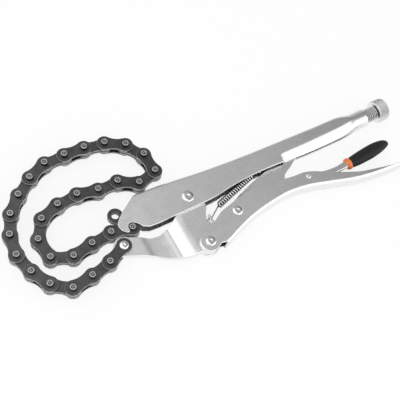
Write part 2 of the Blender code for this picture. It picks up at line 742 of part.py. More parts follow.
def build_link(frame, steel):
    rise = -LINK_PIN.y
    top = spread(LINK_TOP_SHARES, LINK_REACH, rise, LINK_PIN)
    nose_centre = (LINK_TIP.x - LINK_NOSE_RADIUS, LINK_TIP.y)
    nose = arc(nose_centre, LINK_NOSE_RADIUS, 80, -80, 6)
    under = spread(LINK_UNDER_SHARES, LINK_REACH, rise, LINK_PIN)
    front = arc(LINK_PIN, LINK_FRONT_RADIUS, 300, 95, 8)
    item = add_object("toggle_link", flat_solid("link_plate", [top + nose + under + front], YOKE_HALF))
    reach = LINK_REACH * 2
    wide, thin = [LINK_PIN.x + share * LINK_REACH for share in LINK_TAPER_SHARES]
    steps = [(-reach, YOKE_HALF), (wide, YOKE_HALF), (thin, LINK_NOSE_HALF), (reach, LINK_NOSE_HALF)]
    combine(item, section_solid("link_widths", both_sides(steps, 0), reach), "INTERSECT")
    inside = YOKE_HALF - JAW_SHEET
    slot = [Vector((p.x, p.y - LINK_FLOOR)) for p in top[:4]]
    slot_front = Vector((LINK_PIN.x - 2 * LINK_FRONT_RADIUS, slot[0].y - LINK_FRONT_RADIUS))
    low = LINK_PIN.y * 2
    below = [Vector((slot[-1].x, low)), Vector((slot_front.x, low)), slot_front]
    combine(item, flat_solid("link_slot", [slot + below], inside), "DIFFERENCE")
    drill(item, "link_hole", LINK_PIN, PIVOT_RIVET_SHAFT)
    set_origin(item, LINK_PIN)
    finish(item, steel, frame, at(LINK_PIN))


def tang_line():
    return LEVER_PIN.y - TANG_LINE_DROP


def build_lever(frame, steel):
    top = spread(LEVER_TOP_SHARES, LEVER_REACH, LEVER_DEPTH, LEVER_PIN)
    boss = arc(LEVER_PIN, LEVER_BOSS, 60, 130, 3)
    nose = spread(LEVER_NOSE_SHARES, LEVER_REACH, LEVER_DEPTH, LEVER_PIN)
    under = spread(LEVER_UNDER_SHARES, LEVER_REACH, LEVER_DEPTH, LEVER_PIN)
    start = LEVER_PIN.x + RING_BACK - FIT
    end = start + TANG_LENGTH
    middle = tang_line()
    half = TANG_HALF_HEIGHT
    tang = [(start, middle - half), (end, middle - half / 2), (end, middle + half / 2), (start, middle + half)]
    outline = top + boss + nose + under + [Vector(p) for p in tang]
    item = add_object("release_lever", flat_solid("lever_plate", [outline], LEVER_HALF))
    drill(item, "lever_hole", LEVER_PIN, LEVER_RIVET_SHAFT)
    set_origin(item, LEVER_PIN)
    finish(item, steel, frame, at(LEVER_PIN))


def oval_loft(name, sections, sides):
    """A closed body through upright ovals: along, middle, half height, half width."""
    work = bmesh.new()
    rings = []
    for along, middle, tall, wide in sections:
        angles = [2 * pi * i / sides for i in range(sides)]
        rings.append([work.verts.new((along, middle + tall * cos(t), wide * sin(t))) for t in angles])
    for first, second in zip(rings, rings[1:]):
        for i in range(sides):
            j = (i + 1) % sides
            work.faces.new((first[i], first[j], second[j], second[i]))
    work.faces.new(rings[0])
    work.faces.new(rings[-1])
    bmesh.ops.recalc_face_normals(work, faces=work.faces)
    mesh = bpy.data.meshes.new(name)
    work.to_mesh(mesh)
    work.free()
    return mesh


def tang_slot(low, high):
    middle, half = tang_line(), TANG_HALF_HEIGHT + FIT
    return box("tang_slot", (low, middle - half, -LEVER_HALF - FIT), (high, middle + half, LEVER_HALF + FIT))


def build_grip(frame):
    rubber = principled("grip_black", (0.020, 0.020, 0.022), 0.55, 0)
    orange = principled("collar_orange", (0.80, 0.22, 0.05), 0.40, 0)
    start = LEVER_PIN.x + RING_BACK
    middle = tang_line()
    ring_end = start + RING_LENGTH
    spans = (0, 0.25, 0.75, 1)
    swells = (0.9, 1, 1, 0.9)
    sections = [
        (start + a * RING_LENGTH, middle, b * RING_HALF_HEIGHT, b * RING_HALF_WIDTH)
        for a, b in zip(spans, swells)
    ]
    ring = add_object("lever_collar", oval_loft("collar_ring", sections, 16))
    combine(ring, tang_slot(start - OVERRUN, ring_end + OVERRUN), "DIFFERENCE")
    set_origin(ring, LEVER_PIN)
    finish(ring, orange, frame, at(LEVER_PIN))
    start = ring_end + FIT
    length = GRIP_LENGTH - RING_LENGTH
    sections = [
        (start + a * length, middle + b * GRIP_HALF_HEIGHT, c * GRIP_HALF_HEIGHT, c * GRIP_HALF_WIDTH)
        for a, b, c in GRIP_SECTION_SHARES
    ]
    grip = add_object("lever_grip", oval_loft("grip_body", sections, 14))
    tang_end = LEVER_PIN.x + RING_BACK + TANG_LENGTH
    combine(grip, tang_slot(start - OVERRUN, tang_end), "DIFFERENCE")
    set_origin(grip, LEVER_PIN)
    finish(grip, rubber, frame, at(LEVER_PIN))


def build_screw(frame, steel):
    """The screw lies along X: its tip, shank, thread and knob are turned about Z first."""
    bright = principled("screw_steel", (0.62, 0.62, 0.63), 0.30, 1)
    along_x = (0, pi / 2, 0)
    seat = SHANK_RADIUS - FIT
    stem = TIP_STEM_RADIUS
    tip_start = SCREW_START
    tip = turned(
        "screw_tip",
        [
            (0, TIP_LENGTH + TIP_STEM_LENGTH), (stem, TIP_LENGTH + TIP_STEM_LENGTH), (stem, TIP_LENGTH),
            (seat, TIP_LENGTH), (seat, TIP_CHAMFER), (seat - TIP_CHAMFER, 0), (0, 0),
        ],
        12,
    )
    finish(tip, bright, frame, (tip_start, 0, 0), along_x)
    start = tip_start + TIP_LENGTH + FIT
    thread_end = KNOB_START - FIT - start
    thread_start = thread_end - THREAD_LENGTH
    spigot = SHANK_RADIUS
    profile = [(0, thread_end + SPIGOT_LENGTH), (spigot, thread_end + SPIGOT_LENGTH), (spigot, thread_end)]
    root = THREAD_RADIUS - THREAD_DEPTH
    turns = int(THREAD_LENGTH / THREAD_PITCH)
    profile.append((root, thread_end))
    for turn in range(turns):
        crest = thread_end - (turn + 0.5) * THREAD_PITCH
        profile.append((THREAD_RADIUS, crest))
        profile.append((root, crest - THREAD_PITCH / 2))
    profile += [(SHANK_RADIUS, thread_start - THREAD_DEPTH), (SHANK_RADIUS, 0)]
    stem_hole = TIP_STEM_RADIUS + FIT
    depth = TIP_STEM_LENGTH + FIT
    profile += [(stem_hole, 0), (stem_hole, depth), (0, depth)]
    screw = turned("adjusting_screw", profile, 12)
    finish(screw, bright, frame, (start, 0, 0), along_x)
    bore, deep = SHANK_RADIUS + FIT, SPIGOT_LENGTH + FIT
    knob = turned(
        "screw_knob",
        [
            (0, KNOB_LENGTH), (KNOB_RADIUS - KNOB_CHAMFER, KNOB_LENGTH), (KNOB_RADIUS, KNOB_LENGTH - KNOB_CHAMFER),
            (KNOB_RADIUS, KNOB_CHAMFER), (KNOB_RADIUS - KNOB_CHAMFER, 0), (bore, 0), (bore, deep), (0, deep),
        ],
        32,
    )
    finish(knob, steel, frame, (KNOB_START, 0, 0), along_x)


def build_rivet(name, frame, material, centre, shaft, head, grip_half):
    """A riveted pin with a low dome at each end."""
    seat = grip_half + FIT
    top = seat + RIVET_HEAD_HEIGHT
    shoulder = seat + RIVET_HEAD_HEIGHT * 0.45
    dome = [(head * 0.75, top - RIVET_HEAD_HEIGHT * 0.15), (head, shoulder), (head, seat), (shaft, seat)]
    upper = [(0, top), *dome]
    lower = [(r, -z) for r, z in reversed(upper)]
    rivet = turned(name, upper + lower, 12)
    finish(rivet, material, frame, at(centre))


def build_rivets(frame):
    steel = principled("rivet_steel", (0.66, 0.66, 0.67), 0.28, 1)
    build_rivet("jaw_rivet", frame, steel, (0, 0), JAW_RIVET_SHAFT, JAW_RIVET_HEAD, NOSE_HALF_WIDTH)
    build_rivet("hinge_rivet", frame, steel, HINGE, PIVOT_RIVET_SHAFT, PIVOT_RIVET_HEAD, NOSE_HALF_WIDTH)
    build_rivet("link_rivet", frame, steel, LINK_PIN, PIVOT_RIVET_SHAFT, PIVOT_RIVET_HEAD, NOSE_HALF_WIDTH)
    build_rivet("lever_rivet", frame, steel, LEVER_PIN, LEVER_RIVET_SHAFT, LEVER_RIVET_HEAD, NOSE_HALF_WIDTH)
    build_rivet("anchor_rivet", frame, steel, ANCHOR, ANCHOR_RIVET_SHAFT, ANCHOR_RIVET_HEAD, OUTER_HALF)


def spring_points():
    """The wire's middle line: a hook through the jaw's ear, the coil, a hook in the tab."""
    start = Vector((COIL_START_AHEAD, -COIL_START_DROP, 0))
    end = Vector((COIL_END_AHEAD, -COIL_END_DROP, 0))
    axis = (end - start).normalized()
    side = Vector((0, 0, 1))
    over = side.cross(axis)
    turns = round((end - start).length / COIL_PITCH)
    ear, tab = at(SPRING_EAR), at(SPRING_TAB)
    through, down = Vector((HOOK_THROUGH, 0, 0)), Vector((0, -HOOK_TURN, 0))
    points = [ear - through + down, ear - through, ear + through]
    count = turns * COIL_POINTS
    for i in range(count + 1):
        share = i / count
        ramp = min(1, i / (COIL_POINTS / 2), (count - i) / (COIL_POINTS / 2))
        angle = 2 * pi * i / COIL_POINTS
        reach = COIL_RADIUS * ramp
        points.append(start.lerp(end, share) + reach * (cos(angle) * over + sin(angle) * side))
    points += [tab - through, tab + through, tab + through + down]
    return points


def least_gap(points):
    """The least clear distance between stretches of the wire that aren't neighbours."""
    apart = COIL_POINTS // 2
    least = min(
        (points[i] - points[j]).length
        for i in range(len(points))
        for j in range(i + apart, len(points))
    )
    return least - 2 * WIRE_RADIUS


def build_spring(frame):
    steel = principled("spring_steel", (0.32, 0.32, 0.33), 0.30, 1)
    points = spring_points()
    print(f"return spring: least gap to itself {least_gap(points) / MM:.2f} mm")
    curve = bpy.data.curves.new("return_spring", "CURVE")
    curve.dimensions = "3D"
    curve.bevel_depth = WIRE_RADIUS
    curve.bevel_resolution = 1
    curve.use_fill_caps = True
    curve.resolution_u = 1
    curve.render_resolution_u = 0
    spline = curve.splines.new("POLY")
    spline.points.add(len(points) - 1)
    for point, place in zip(spline.points, points):
        point.co = (*place, 1)
    item = add_object("return_spring", curve)
    for collection in list(item.users_collection):
        collection.objects.unlink(item)
    PARTS.objects.link(item)
    curve.materials.append(steel)
    item.parent = frame


def main():
    frame = add_empty("tool_frame", (-MIDDLE.x, -MIDDLE.y, REST_HEIGHT))
    steel = principled("satin_nickel", (0.70, 0.70, 0.71), 0.34, 1)
    build_upper_handle(frame, steel)
    build_jaw(frame, steel)
    build_lower_handle(frame, steel)
    build_link(frame, steel)
    build_lever(frame, steel)
    build_grip(frame)
    build_screw(frame, steel)
    build_rivets(frame)
    build_spring(frame)
    build_chain(frame)


main()
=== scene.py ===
"""Looks of the chain wrench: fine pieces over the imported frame, their materials, a pale floor,
soft studio light and the photograph's camera."""

import json
from math import acos, atan2, cos, degrees, pi, radians, sin

import bmesh
import bpy
import numpy as np
from mathutils import Matrix, Vector


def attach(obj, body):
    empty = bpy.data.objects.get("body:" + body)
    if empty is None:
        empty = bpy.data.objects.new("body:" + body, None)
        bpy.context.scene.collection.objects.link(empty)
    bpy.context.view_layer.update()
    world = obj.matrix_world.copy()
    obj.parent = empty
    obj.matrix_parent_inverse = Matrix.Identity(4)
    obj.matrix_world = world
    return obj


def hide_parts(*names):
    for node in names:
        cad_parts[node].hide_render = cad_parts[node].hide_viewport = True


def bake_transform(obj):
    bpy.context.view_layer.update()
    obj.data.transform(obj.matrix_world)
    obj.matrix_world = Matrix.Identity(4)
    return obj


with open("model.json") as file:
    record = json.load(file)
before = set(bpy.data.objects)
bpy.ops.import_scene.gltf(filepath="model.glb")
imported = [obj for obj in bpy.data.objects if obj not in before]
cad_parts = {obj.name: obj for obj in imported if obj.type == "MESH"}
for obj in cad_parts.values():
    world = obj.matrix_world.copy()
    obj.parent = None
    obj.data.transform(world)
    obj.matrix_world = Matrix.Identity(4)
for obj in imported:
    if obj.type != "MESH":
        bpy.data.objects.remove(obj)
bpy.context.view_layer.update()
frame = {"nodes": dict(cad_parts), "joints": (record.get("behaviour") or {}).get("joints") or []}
NODES = frame["nodes"]
JOINTS = {j["name"]: j for j in frame["joints"]}

MM = 0.001
ORIGIN = Vector(JOINTS["jaw_pivot"]["pos_m"])


def joint_place(name):
    """A joint's place in the tool's own frame, in millimetres."""
    p = (Vector(JOINTS[name]["pos_m"]) - ORIGIN) / MM
    return Vector((p.x, p.y))


PIN_JOINTS = ["chain_slack" if k == 2 else "end_link_swing" if k == 30 else f"chain_hinge_{k:02d}" for k in range(1, 31)]
PINS = [joint_place(name) for name in PIN_JOINTS]
PITCH = (PINS[2] - PINS[1]).length
_last = PINS[29] - PINS[28]
_turn = atan2(_last.y, _last.x) + radians(127)
PINS.append(PINS[29] + PITCH * Vector((cos(_turn), sin(_turn))))
ANCHOR, HOOK = PINS[0], PINS[29]
HINGE = joint_place("handle_pivot")
LINK_PIN = joint_place("link_pivot")
LEVER_PIN = joint_place("lever_pivot")


# Small helpers ----------------------------------------------------------------

def arc(centre, radius, first, last, steps):
    turns = [radians(first + (last - first) * i / steps) for i in range(steps + 1)]
    return [Vector((centre[0] + radius * cos(t), centre[1] + radius * sin(t))) for t in turns]


def spread(shares, along, across, origin=(0, 0)):
    return [Vector((origin[0] + a * along, origin[1] + b * across)) for a, b in shares]


def smooth(points, steps=5):
    """A smooth open line through the points (centripetal Catmull-Rom)."""
    p = [Vector(q) for q in points]
    if len(p) < 3:
        return p
    ends = [2 * p[0] - p[1], *p, 2 * p[-1] - p[-2]]
    out = []
    for i in range(1, len(ends) - 2):
        a, b, c, d = ends[i - 1:i + 3]
        t0 = 0
        t1 = t0 + max((b - a).length, 1e-6) ** 0.5
        t2 = t1 + max((c - b).length, 1e-6) ** 0.5
        t3 = t2 + max((d - c).length, 1e-6) ** 0.5
        for k in range(steps):
            t = t1 + (t2 - t1) * k / steps
            a1 = (t1 - t) / (t1 - t0) * a + (t - t0) / (t1 - t0) * b
            a2 = (t2 - t) / (t2 - t1) * b + (t - t1) / (t2 - t1) * c
            a3 = (t3 - t) / (t3 - t2) * c + (t - t2) / (t3 - t2) * d
            b1 = (t2 - t) / (t2 - t0) * a1 + (t - t0) / (t2 - t0) * a2
            b2 = (t3 - t) / (t3 - t1) * a2 + (t - t1) / (t3 - t1) * a3
            out.append((t2 - t) / (t2 - t1) * b1 + (t - t1) / (t2 - t1) * b2)
    out.append(p[-1])
    return out


def pchip(xs, ys, at):
    """A smooth curve through (xs, ys) that never overshoots them."""
    xs, ys, at = (np.asarray(v, float) for v in (xs, ys, at))
    h, delta = np.diff(xs), np.diff(ys) / np.diff(xs)
    slope = np.zeros(len(xs))
    slope[0], slope[-1] = delta[0], delta[-1]
    for i in range(1, len(xs) - 1):
        if delta[i - 1] * delta[i] > 0:
            w1, w2 = 2 * h[i] + h[i - 1], h[i] + 2 * h[i - 1]
            slope[i] = (w1 + w2) / (w1 / delta[i - 1] + w2 / delta[i])
    k = np.clip(np.searchsorted(xs, at) - 1, 0, len(xs) - 2)
    t = (at - xs[k]) / h[k]
    return (
        (2 * t ** 3 - 3 * t ** 2 + 1) * ys[k] + (t ** 3 - 2 * t ** 2 + t) * h[k] * slope[k]
        + (3 * t ** 2 - 2 * t ** 3) * ys[k + 1] + (t ** 3 - t ** 2) * h[k] * slope[k + 1]
    )


def dense_rows(rows, step):
    """Section rows along the first column, made denser and smoother."""
    table = np.array(rows, float)
    xs = table[:, 0]
    at = []
    for a, b in zip(xs, xs[1:]):
        n = max(2, int(round((b - a) / step)))
        at += [a + (b - a) * i / n for i in range(n)]
    at.append(xs[-1])
    columns = [pchip(xs, table[:, c], at) for c in range(1, table.shape[1])]
    return [(x, *[float(c[i]) for c in columns]) for i, x in enumerate(at)]


def link_up(name, mesh):
    item = bpy.data.objects.new(name, mesh)
    bpy.context.scene.collection.objects.link(item)
    return item


def drop(item):
    data = item.data
    bpy.data.objects.remove(item)
    if data and data.users == 0 and isinstance(data, bpy.types.Mesh):
        bpy.data.meshes.remove(data)


def mesh_from(item, flat=radians(0.15)):
    """The evaluated mesh, welded, with flat faces merged."""
    bpy.context.view_layer.update()
    graph = bpy.context.evaluated_depsgraph_get()
    mesh = bpy.data.meshes.new_from_object(item.evaluated_get(graph), depsgraph=graph)
    work = bmesh.new()
    work.from_mesh(mesh)
    bmesh.ops.remove_doubles(work, verts=work.verts, dist=0.002)
    bmesh.ops.recalc_face_normals(work, faces=work.faces)
    if flat:
        bmesh.ops.dissolve_limit(work, angle_limit=flat, verts=work.verts, edges=work.edges)
    work.to_mesh(mesh)
    work.free()
    return mesh


def plate(name, loops, low, high, bevel=0.0, rounds=2, flat=radians(0.15)):
    """A plate between two heights with rounded edges, from outlines in millimetres."""
    curve = bpy.data.curves.new(name, "CURVE")
    curve.dimensions = "2D"
    curve.fill_mode = "BOTH"
    curve.extrude = (high - low) / 2 - bevel
    curve.resolution_u = 1
    if bevel:
        curve.bevel_depth = bevel
        curve.bevel_resolution = rounds
        curve.offset = -bevel
    for loop in loops:
        spline = curve.splines.new("POLY")
        spline.points.add(len(loop) - 1)
        for point, place in zip(spline.points, loop):
            point.co = (place[0], place[1], 0, 1)
        spline.use_cyclic_u = True
    drawn = link_up(name, curve)
    mesh = mesh_from(drawn, flat)
    bpy.data.objects.remove(drawn)
    bpy.data.curves.remove(curve)
    for vertex in mesh.vertices:
        vertex.co.z += (low + high) / 2
    return mesh


def lathe(name, profile, sides, axis="Z", origin=(0, 0, 0), ring=False, painted_shade=None):
    """A closed turned mesh about Z or X from (radius, height) points, from one end to the other."""
    work = bmesh.new()
    rings = []
    for radius, height in profile:
        if radius < 1e-6:
            rings.append([work.verts.new((0, 0, height))])
        else:
            rings.append([work.verts.new((radius * cos(2 * pi * i / sides), radius * sin(2 * pi * i / sides), height)) for i in range(sides)])
    for a, b in zip(rings, rings[1:] + rings[:1] if ring else rings[1:]):
        if len(a) == 1 and len(b) == 1:
            continue
        for i in range(sides):
            j = (i + 1) % sides
            if len(a) == 1:
                work.faces.new((a[0], b[j], b[i]))
            elif len(b) == 1:
                work.faces.new((a[i], a[j], b[0]))
            else:
                work.faces.new((a[i], a[j], b[j], b[i]))
    for end in () if ring else (rings[0], rings[-1]):
        if len(end) > 1:
            work.faces.new(end)
    bmesh.ops.recalc_face_normals(work, faces=work.faces)
    mesh = bpy.data.meshes.new(name)
    work.to_mesh(mesh)
    work.free()
    # painted shade: one value a profile point, which darkens the colour there
    if painted_shade:
        shares = [painted_shade(radius, height) for (radius, height), row in zip(profile, rings) for _ in row]
        mark(mesh, "painted_shade", shares)
    if axis == "X":
        for vertex in mesh.vertices:
            x, y, z = vertex.co
            vertex.co = (z, y, -x)
    for vertex in mesh.vertices:
        vertex.co += Vector(origin)
    return mesh


def mark(mesh, name, values):
    """Keep one value a corner point, which a material reads to paint shade in a recess, or to lighten a plate's rim
    with rubbed wear and a painted highlight.
    """
    mesh.attributes.new(name, "FLOAT", "POINT").data.foreach_set("value", values)


def grid_mesh(name, rows, closed_around=True, caps=True):
    """A mesh through rows of points; each row runs round the piece."""
    width = len(rows[0])
    corners = [p for row in rows for p in row]
    faces = []
    for i in range(len(rows) - 1):
        for j in range(width if closed_around else width - 1):
            k = (j + 1) % width
            faces.append((i * width + j, i * width + k, (i + 1) * width + k, (i + 1) * width + j))
    if caps:
        faces.append(tuple(range(width))[::-1])
        faces.append(tuple((len(rows) - 1) * width + j for j in range(width)))
    mesh = bpy.data.meshes.new(name)
    mesh.from_pydata([tuple(p) for p in corners], [], faces)
    work = bmesh.new()
    work.from_mesh(mesh)
    bmesh.ops.recalc_face_normals(work, faces=work.faces)
    work.to_mesh(mesh)
    work.free()
    return mesh


def joined(name, meshes):
    work = bmesh.new()
    for mesh in meshes:
        work.from_mesh(mesh)
    out = bpy.data.meshes.new(name)
    work.to_mesh(out)
    work.free()
    return out


def combine(item, mesh, operation):
    other = link_up(f"{item.name}_tool", mesh)
    other.hide_render = True
    modifier = item.modifiers.new(operation, "BOOLEAN")
    modifier.operation = operation
    modifier.solver = "EXACT"
    modifier.object = other
    item["tools"] = list(item.get("tools", [])) + [other.name]


def baked(item, flat=radians(0.15)):
    """The mesh of an item with its cuts made, its cutters cleared away."""
    mesh = mesh_from(item, flat)
    for name in list(item.get("tools", [])):
        drop(bpy.data.objects[name])
    bpy.data.objects.remove(item)
    return mesh


def cylinder(name, radius, low, high, centre, sides=48, axis="Z"):
    return lathe(name, [(radius, low), (radius, high)], sides, axis, centre)


def box(name, low, high):
    work = bmesh.new()
    bmesh.ops.create_cube(work, size=1)
    bmesh.ops.scale(work, vec=[b - a for a, b in zip(low, high)], verts=work.verts)
    bmesh.ops.translate(work, vec=[(a + b) / 2 for a, b in zip(low, high)], verts=work.verts)
    mesh = bpy.data.meshes.new(name)
    work.to_mesh(mesh)
    work.free()
    return mesh


def section_solid(name, outline, reach):
    mesh = plate(name, [outline], -reach, reach)
    for vertex in mesh.vertices:
        x, y, z = vertex.co
        vertex.co = (x, -z, y)
    return mesh


PLACE = Matrix.Translation(ORIGIN) @ Matrix.Diagonal((MM, MM, MM, 1))


def piece(name, mesh, material, body, nodes=(), bevel=0.0, rounds=2, angle=38, weighted=True, sharp=40):
    """Put a mesh drawn in millimetres in its place in the row frame, finish it and let it ride."""
    mesh.name = name
    mesh.transform(PLACE)
    mesh.materials.clear()
    mesh.materials.append(material)
    item = link_up(name, mesh)
    mesh.shade_smooth()
    mesh.set_sharp_from_angle(angle=radians(sharp))
    if bevel:
        edge = item.modifiers.new("edges", "BEVEL")
        edge.width = bevel * MM
        edge.segments = rounds
        edge.limit_method = "ANGLE"
        edge.angle_limit = radians(angle)
        edge.use_clamp_overlap = False
        edge.harden_normals = False
        edge.miter_outer = "MITER_ARC"
    if weighted:
        normals = item.modifiers.new("normals", "WEIGHTED_NORMAL")
        normals.weight = 90
        normals.keep_sharp = not bevel
    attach(item, body)
    if nodes:
        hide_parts(*nodes)
    return item


# Materials --------------------------------------------------------------------

class Shader:
    """A Principled material with the few texture nodes that the finishes here share."""

    def __init__(self, name, **values):
        self.material = bpy.data.materials.new(name)
        self.material.use_nodes = True
        self.tree = self.material.node_tree
        self.main = self.tree.nodes["Principled BSDF"]
        for key, value in values.items():
            socket = self.main.inputs[key.replace("_", " ")]
            socket.default_value = (*value, 1) if isinstance(value, tuple) else value
        self.coords = self.tree.nodes.new("ShaderNodeTexCoord").outputs["Object"]
        self.height = None

    def node(self, kind, **values):
        made = self.tree.nodes.new(kind)
        for key, value in values.items():
            setattr(made, key, value)
        return made

    def join(self, a, b):
        self.tree.links.new(a, b)

    def stretched(self, scale):
        mapping = self.node("ShaderNodeMapping")
        mapping.inputs["Scale"].default_value = scale
        self.join(self.coords, mapping.inputs["Vector"])
        return mapping.outputs["Vector"]

    def noise(self, scale, detail=3.0, rough=0.55, stretch=(1, 1, 1), distortion=0.0):
        made = self.node("ShaderNodeTexNoise")
        made.inputs["Scale"].default_value = scale
        made.inputs["Detail"].default_value = detail
        made.inputs["Roughness"].default_value = rough
        made.inputs["Distortion"].default_value = distortion
        self.join(self.stretched(stretch), made.inputs["Vector"])
        return made.outputs["Fac"]

    def ranged(self, value, low, high, start=0.3, end=0.7):
        made = self.node("ShaderNodeMapRange")
        made.inputs["From Min"].default_value = start
        made.inputs["From Max"].default_value = end
        made.inputs["To Min"].default_value = low
        made.inputs["To Max"].default_value = high
        self.join(value, made.inputs["Value"])
        return made.outputs["Result"]

    def mixed(self, factor, first, second):
        made = self.node("ShaderNodeMix", data_type="RGBA")
        for socket, value in ((6, first), (7, second)):
            if isinstance(value, tuple):
                made.inputs[socket].default_value = (*value, 1)
            else:
                self.join(value, made.inputs[socket])
        self.join(factor, made.inputs[0])
        return made.outputs[2]

    def colour(self, value):
        self.join(value, self.main.inputs["Base Color"])

    def roughness(self, value):
        self.join(value, self.main.inputs["Roughness"])

    def bump(self, value, strength, distance):
        made = self.node("ShaderNodeBump")
        made.inputs["Strength"].default_value = strength
        made.inputs["Distance"].default_value = distance
        self.join(value, made.inputs["Height"])
        if self.height is not None:
            self.join(self.height, made.inputs["Normal"])
        self.height = made.outputs["Normal"]
        self.join(self.height, self.main.inputs["Normal"])

    def attribute(self, name):
        made = self.node("ShaderNodeAttribute", attribute_name=name)
        return made.outputs["Fac"]


def brushed(name, light, dark, low, high, grain=(0.12, 1, 1), depth=0.10, painted_shade_colour=(0.10, 0.10, 0.105)):
    """Plated steel: faint grain along the piece, cloudy polish, small pits, and painted shade: the last colour darkens
    the recesses and inner sides that the mesh marks.
    """
    s = Shader(name, Metallic=1.0)
    cloud = s.noise(55, 4, 0.6)
    speck = s.noise(1100, 3, 0.75)
    fine = s.noise(2600, 2, 0.6, grain)
    pits = s.noise(900, 3, 0.7)
    clouded = s.mixed(s.ranged(cloud, 0, 1, 0.35, 0.65), dark, light)
    grained = s.mixed(s.ranged(speck, 0, 0.35, 0.40, 0.62), clouded, tuple(0.78 * c for c in dark))
    # painted shade: where the mesh marks a recess or an inner side, the colour turns to the dark shade colour
    s.colour(s.mixed(s.attribute("painted_shade"), grained, painted_shade_colour))
    s.roughness(s.ranged(s.noise(130, 4, 0.65, (0.5, 1, 1)), low, high))
    s.bump(fine, depth, 0.00002)
    s.bump(pits, depth * 0.6, 0.00003)
    return s.material


# The last colour given, else dark grey, is the painted shade of marked recesses and inner sides.
NICKEL = brushed("satin_nickel_plate", (0.93, 0.93, 0.935), (0.88, 0.88, 0.885), 0.24, 0.32)
RIVET = brushed("polished_rivet_steel", (0.84, 0.84, 0.85), (0.76, 0.76, 0.77), 0.14, 0.24, (1, 1, 1), 0.06)
SCREW = brushed("turned_screw_steel", (0.84, 0.84, 0.85), (0.76, 0.76, 0.77), 0.18, 0.28, (1, 1, 1), 0.08, (0.03, 0.03, 0.032))
KNOB = brushed("knurled_nickel", (0.92, 0.92, 0.925), (0.86, 0.86, 0.865), 0.20, 0.30, (1, 1, 1), 0.10, (0.10, 0.10, 0.102))
SPRING = brushed("spring_wire", (0.86, 0.86, 0.87), (0.76, 0.76, 0.77), 0.16, 0.24, (1, 1, 1), 0.04, (0.02, 0.02, 0.022))
# painted shade: a darker copy of the plated steel, for the spring tab inside the handle
SHADED_INNER_STEEL = brushed("inside_steel_painted_shade", (0.30, 0.30, 0.305), (0.25, 0.25, 0.255), 0.34, 0.44)


def chain_finish():
    s = Shader("black_oxide", Metallic=0.75)
    cloud = s.noise(160, 5, 0.65)
    base = s.mixed(s.ranged(cloud, 0, 1), (0.058, 0.058, 0.060), (0.098, 0.098, 0.101))
    rub = s.noise(700, 4, 0.7)
    wear_and_rim_highlight = s.node("ShaderNodeMath", operation="MULTIPLY")
    s.join(s.attribute("wear_and_rim_highlight"), wear_and_rim_highlight.inputs[0])
    s.join(s.ranged(rub, 0.25, 1.0, 0.35, 0.6), wear_and_rim_highlight.inputs[1])
    # rubbed wear and painted highlight: the plates' rims are lightened in patches
    s.colour(s.mixed(wear_and_rim_highlight.outputs[0], base, (0.42, 0.42, 0.43)))
    s.roughness(s.ranged(s.noise(420, 4, 0.6), 0.30, 0.44))
    s.bump(s.noise(1500, 3, 0.7), 0.12, 0.00003)
    return s.material


def pin_finish():
    s = Shader("chain_pin_steel", Metallic=1.0)
    cloud = s.noise(600, 4, 0.65)
    bright = s.mixed(s.ranged(cloud, 0, 1), (0.28, 0.28, 0.285), (0.42, 0.42, 0.43))
    # painted shade: the pin's side and the sunken ring round its dot take the near-black colour
    s.colour(s.mixed(s.attribute("painted_shade"), bright, (0.045, 0.045, 0.047)))
    s.roughness(s.ranged(s.noise(900, 3, 0.6), 0.26, 0.40))
    s.bump(s.noise(2200, 3, 0.7), 0.14, 0.00003)
    return s.material


def rubber_finish():
    s = Shader("black_grip", Metallic=0.0, Specular_IOR_Level=0.32)
    s.colour(s.mixed(s.ranged(s.noise(300, 5, 0.7), 0, 1), (0.008, 0.008, 0.009), (0.014, 0.014, 0.015)))
    s.roughness(s.ranged(s.noise(700, 4, 0.6), 0.42, 0.58))
    s.bump(s.noise(1100, 4, 0.65), 0.28, 0.00006)
    return s.material


def collar_finish():
    s = Shader("orange_collar", Metallic=0.0)
    s.colour(s.mixed(s.ranged(s.noise(350, 4, 0.6), 0, 1), (0.78, 0.205, 0.045), (0.86, 0.25, 0.065)))
    s.roughness(s.ranged(s.noise(600, 3, 0.6), 0.30, 0.42))
    s.bump(s.noise(1400, 3, 0.6), 0.10, 0.00003)
    return s.material


CHAIN, PIN, RUBBER, ORANGE = chain_finish(), pin_finish(), rubber_finish(), collar_finish()


# Chain ------------------------------------------------------------------------

EYE, WAIST, THICK, BORE = 5.81, 4.3, 1.5, 2.9
INNER_LOW, OUTER_LOW, PIN_TOP = 0.6, 2.4, 6.9


def link_outline(reach):
    """Two round eyes and a waist of two arcs that meet them smoothly."""
    half = reach / 2
    narrowing = EYE - WAIST
    centre = (half ** 2 - narrowing ** 2) / (2 * narrowing)
    radius = centre - WAIST
    meet = degrees(atan2(centre, half))
    span = 90 - meet
    right = arc((reach, 0), EYE, -180 + meet, 180 - meet, 30)
    upper = arc((half, centre), radius, -90 + span, -90 - span, 12)[1:-1]
    left = arc((0, 0), EYE, meet, 360 - meet, 30)
    lower = arc((half, -centre), radius, 90 + span, 90 - span, 12)[1:-1]
    return right + upper + left + lower


def link_plate(name, low, high, holes):
    loops = [link_outline(PITCH)]
    loops += [arc((x, 0), r, 0, 360 - 360 / 28, 27) for x, r in holes]
    mesh = plate(name, loops, low, high, 0.28, 2, 0)
    # the rim of each plate is marked for the lighter wear and painted highlight
    mark(mesh, "wear_and_rim_highlight", [0.0 if min(abs(v.co.z - low), abs(v.co.z - high)) < 0.02 else 1.0 for v in mesh.vertices])
    return mesh


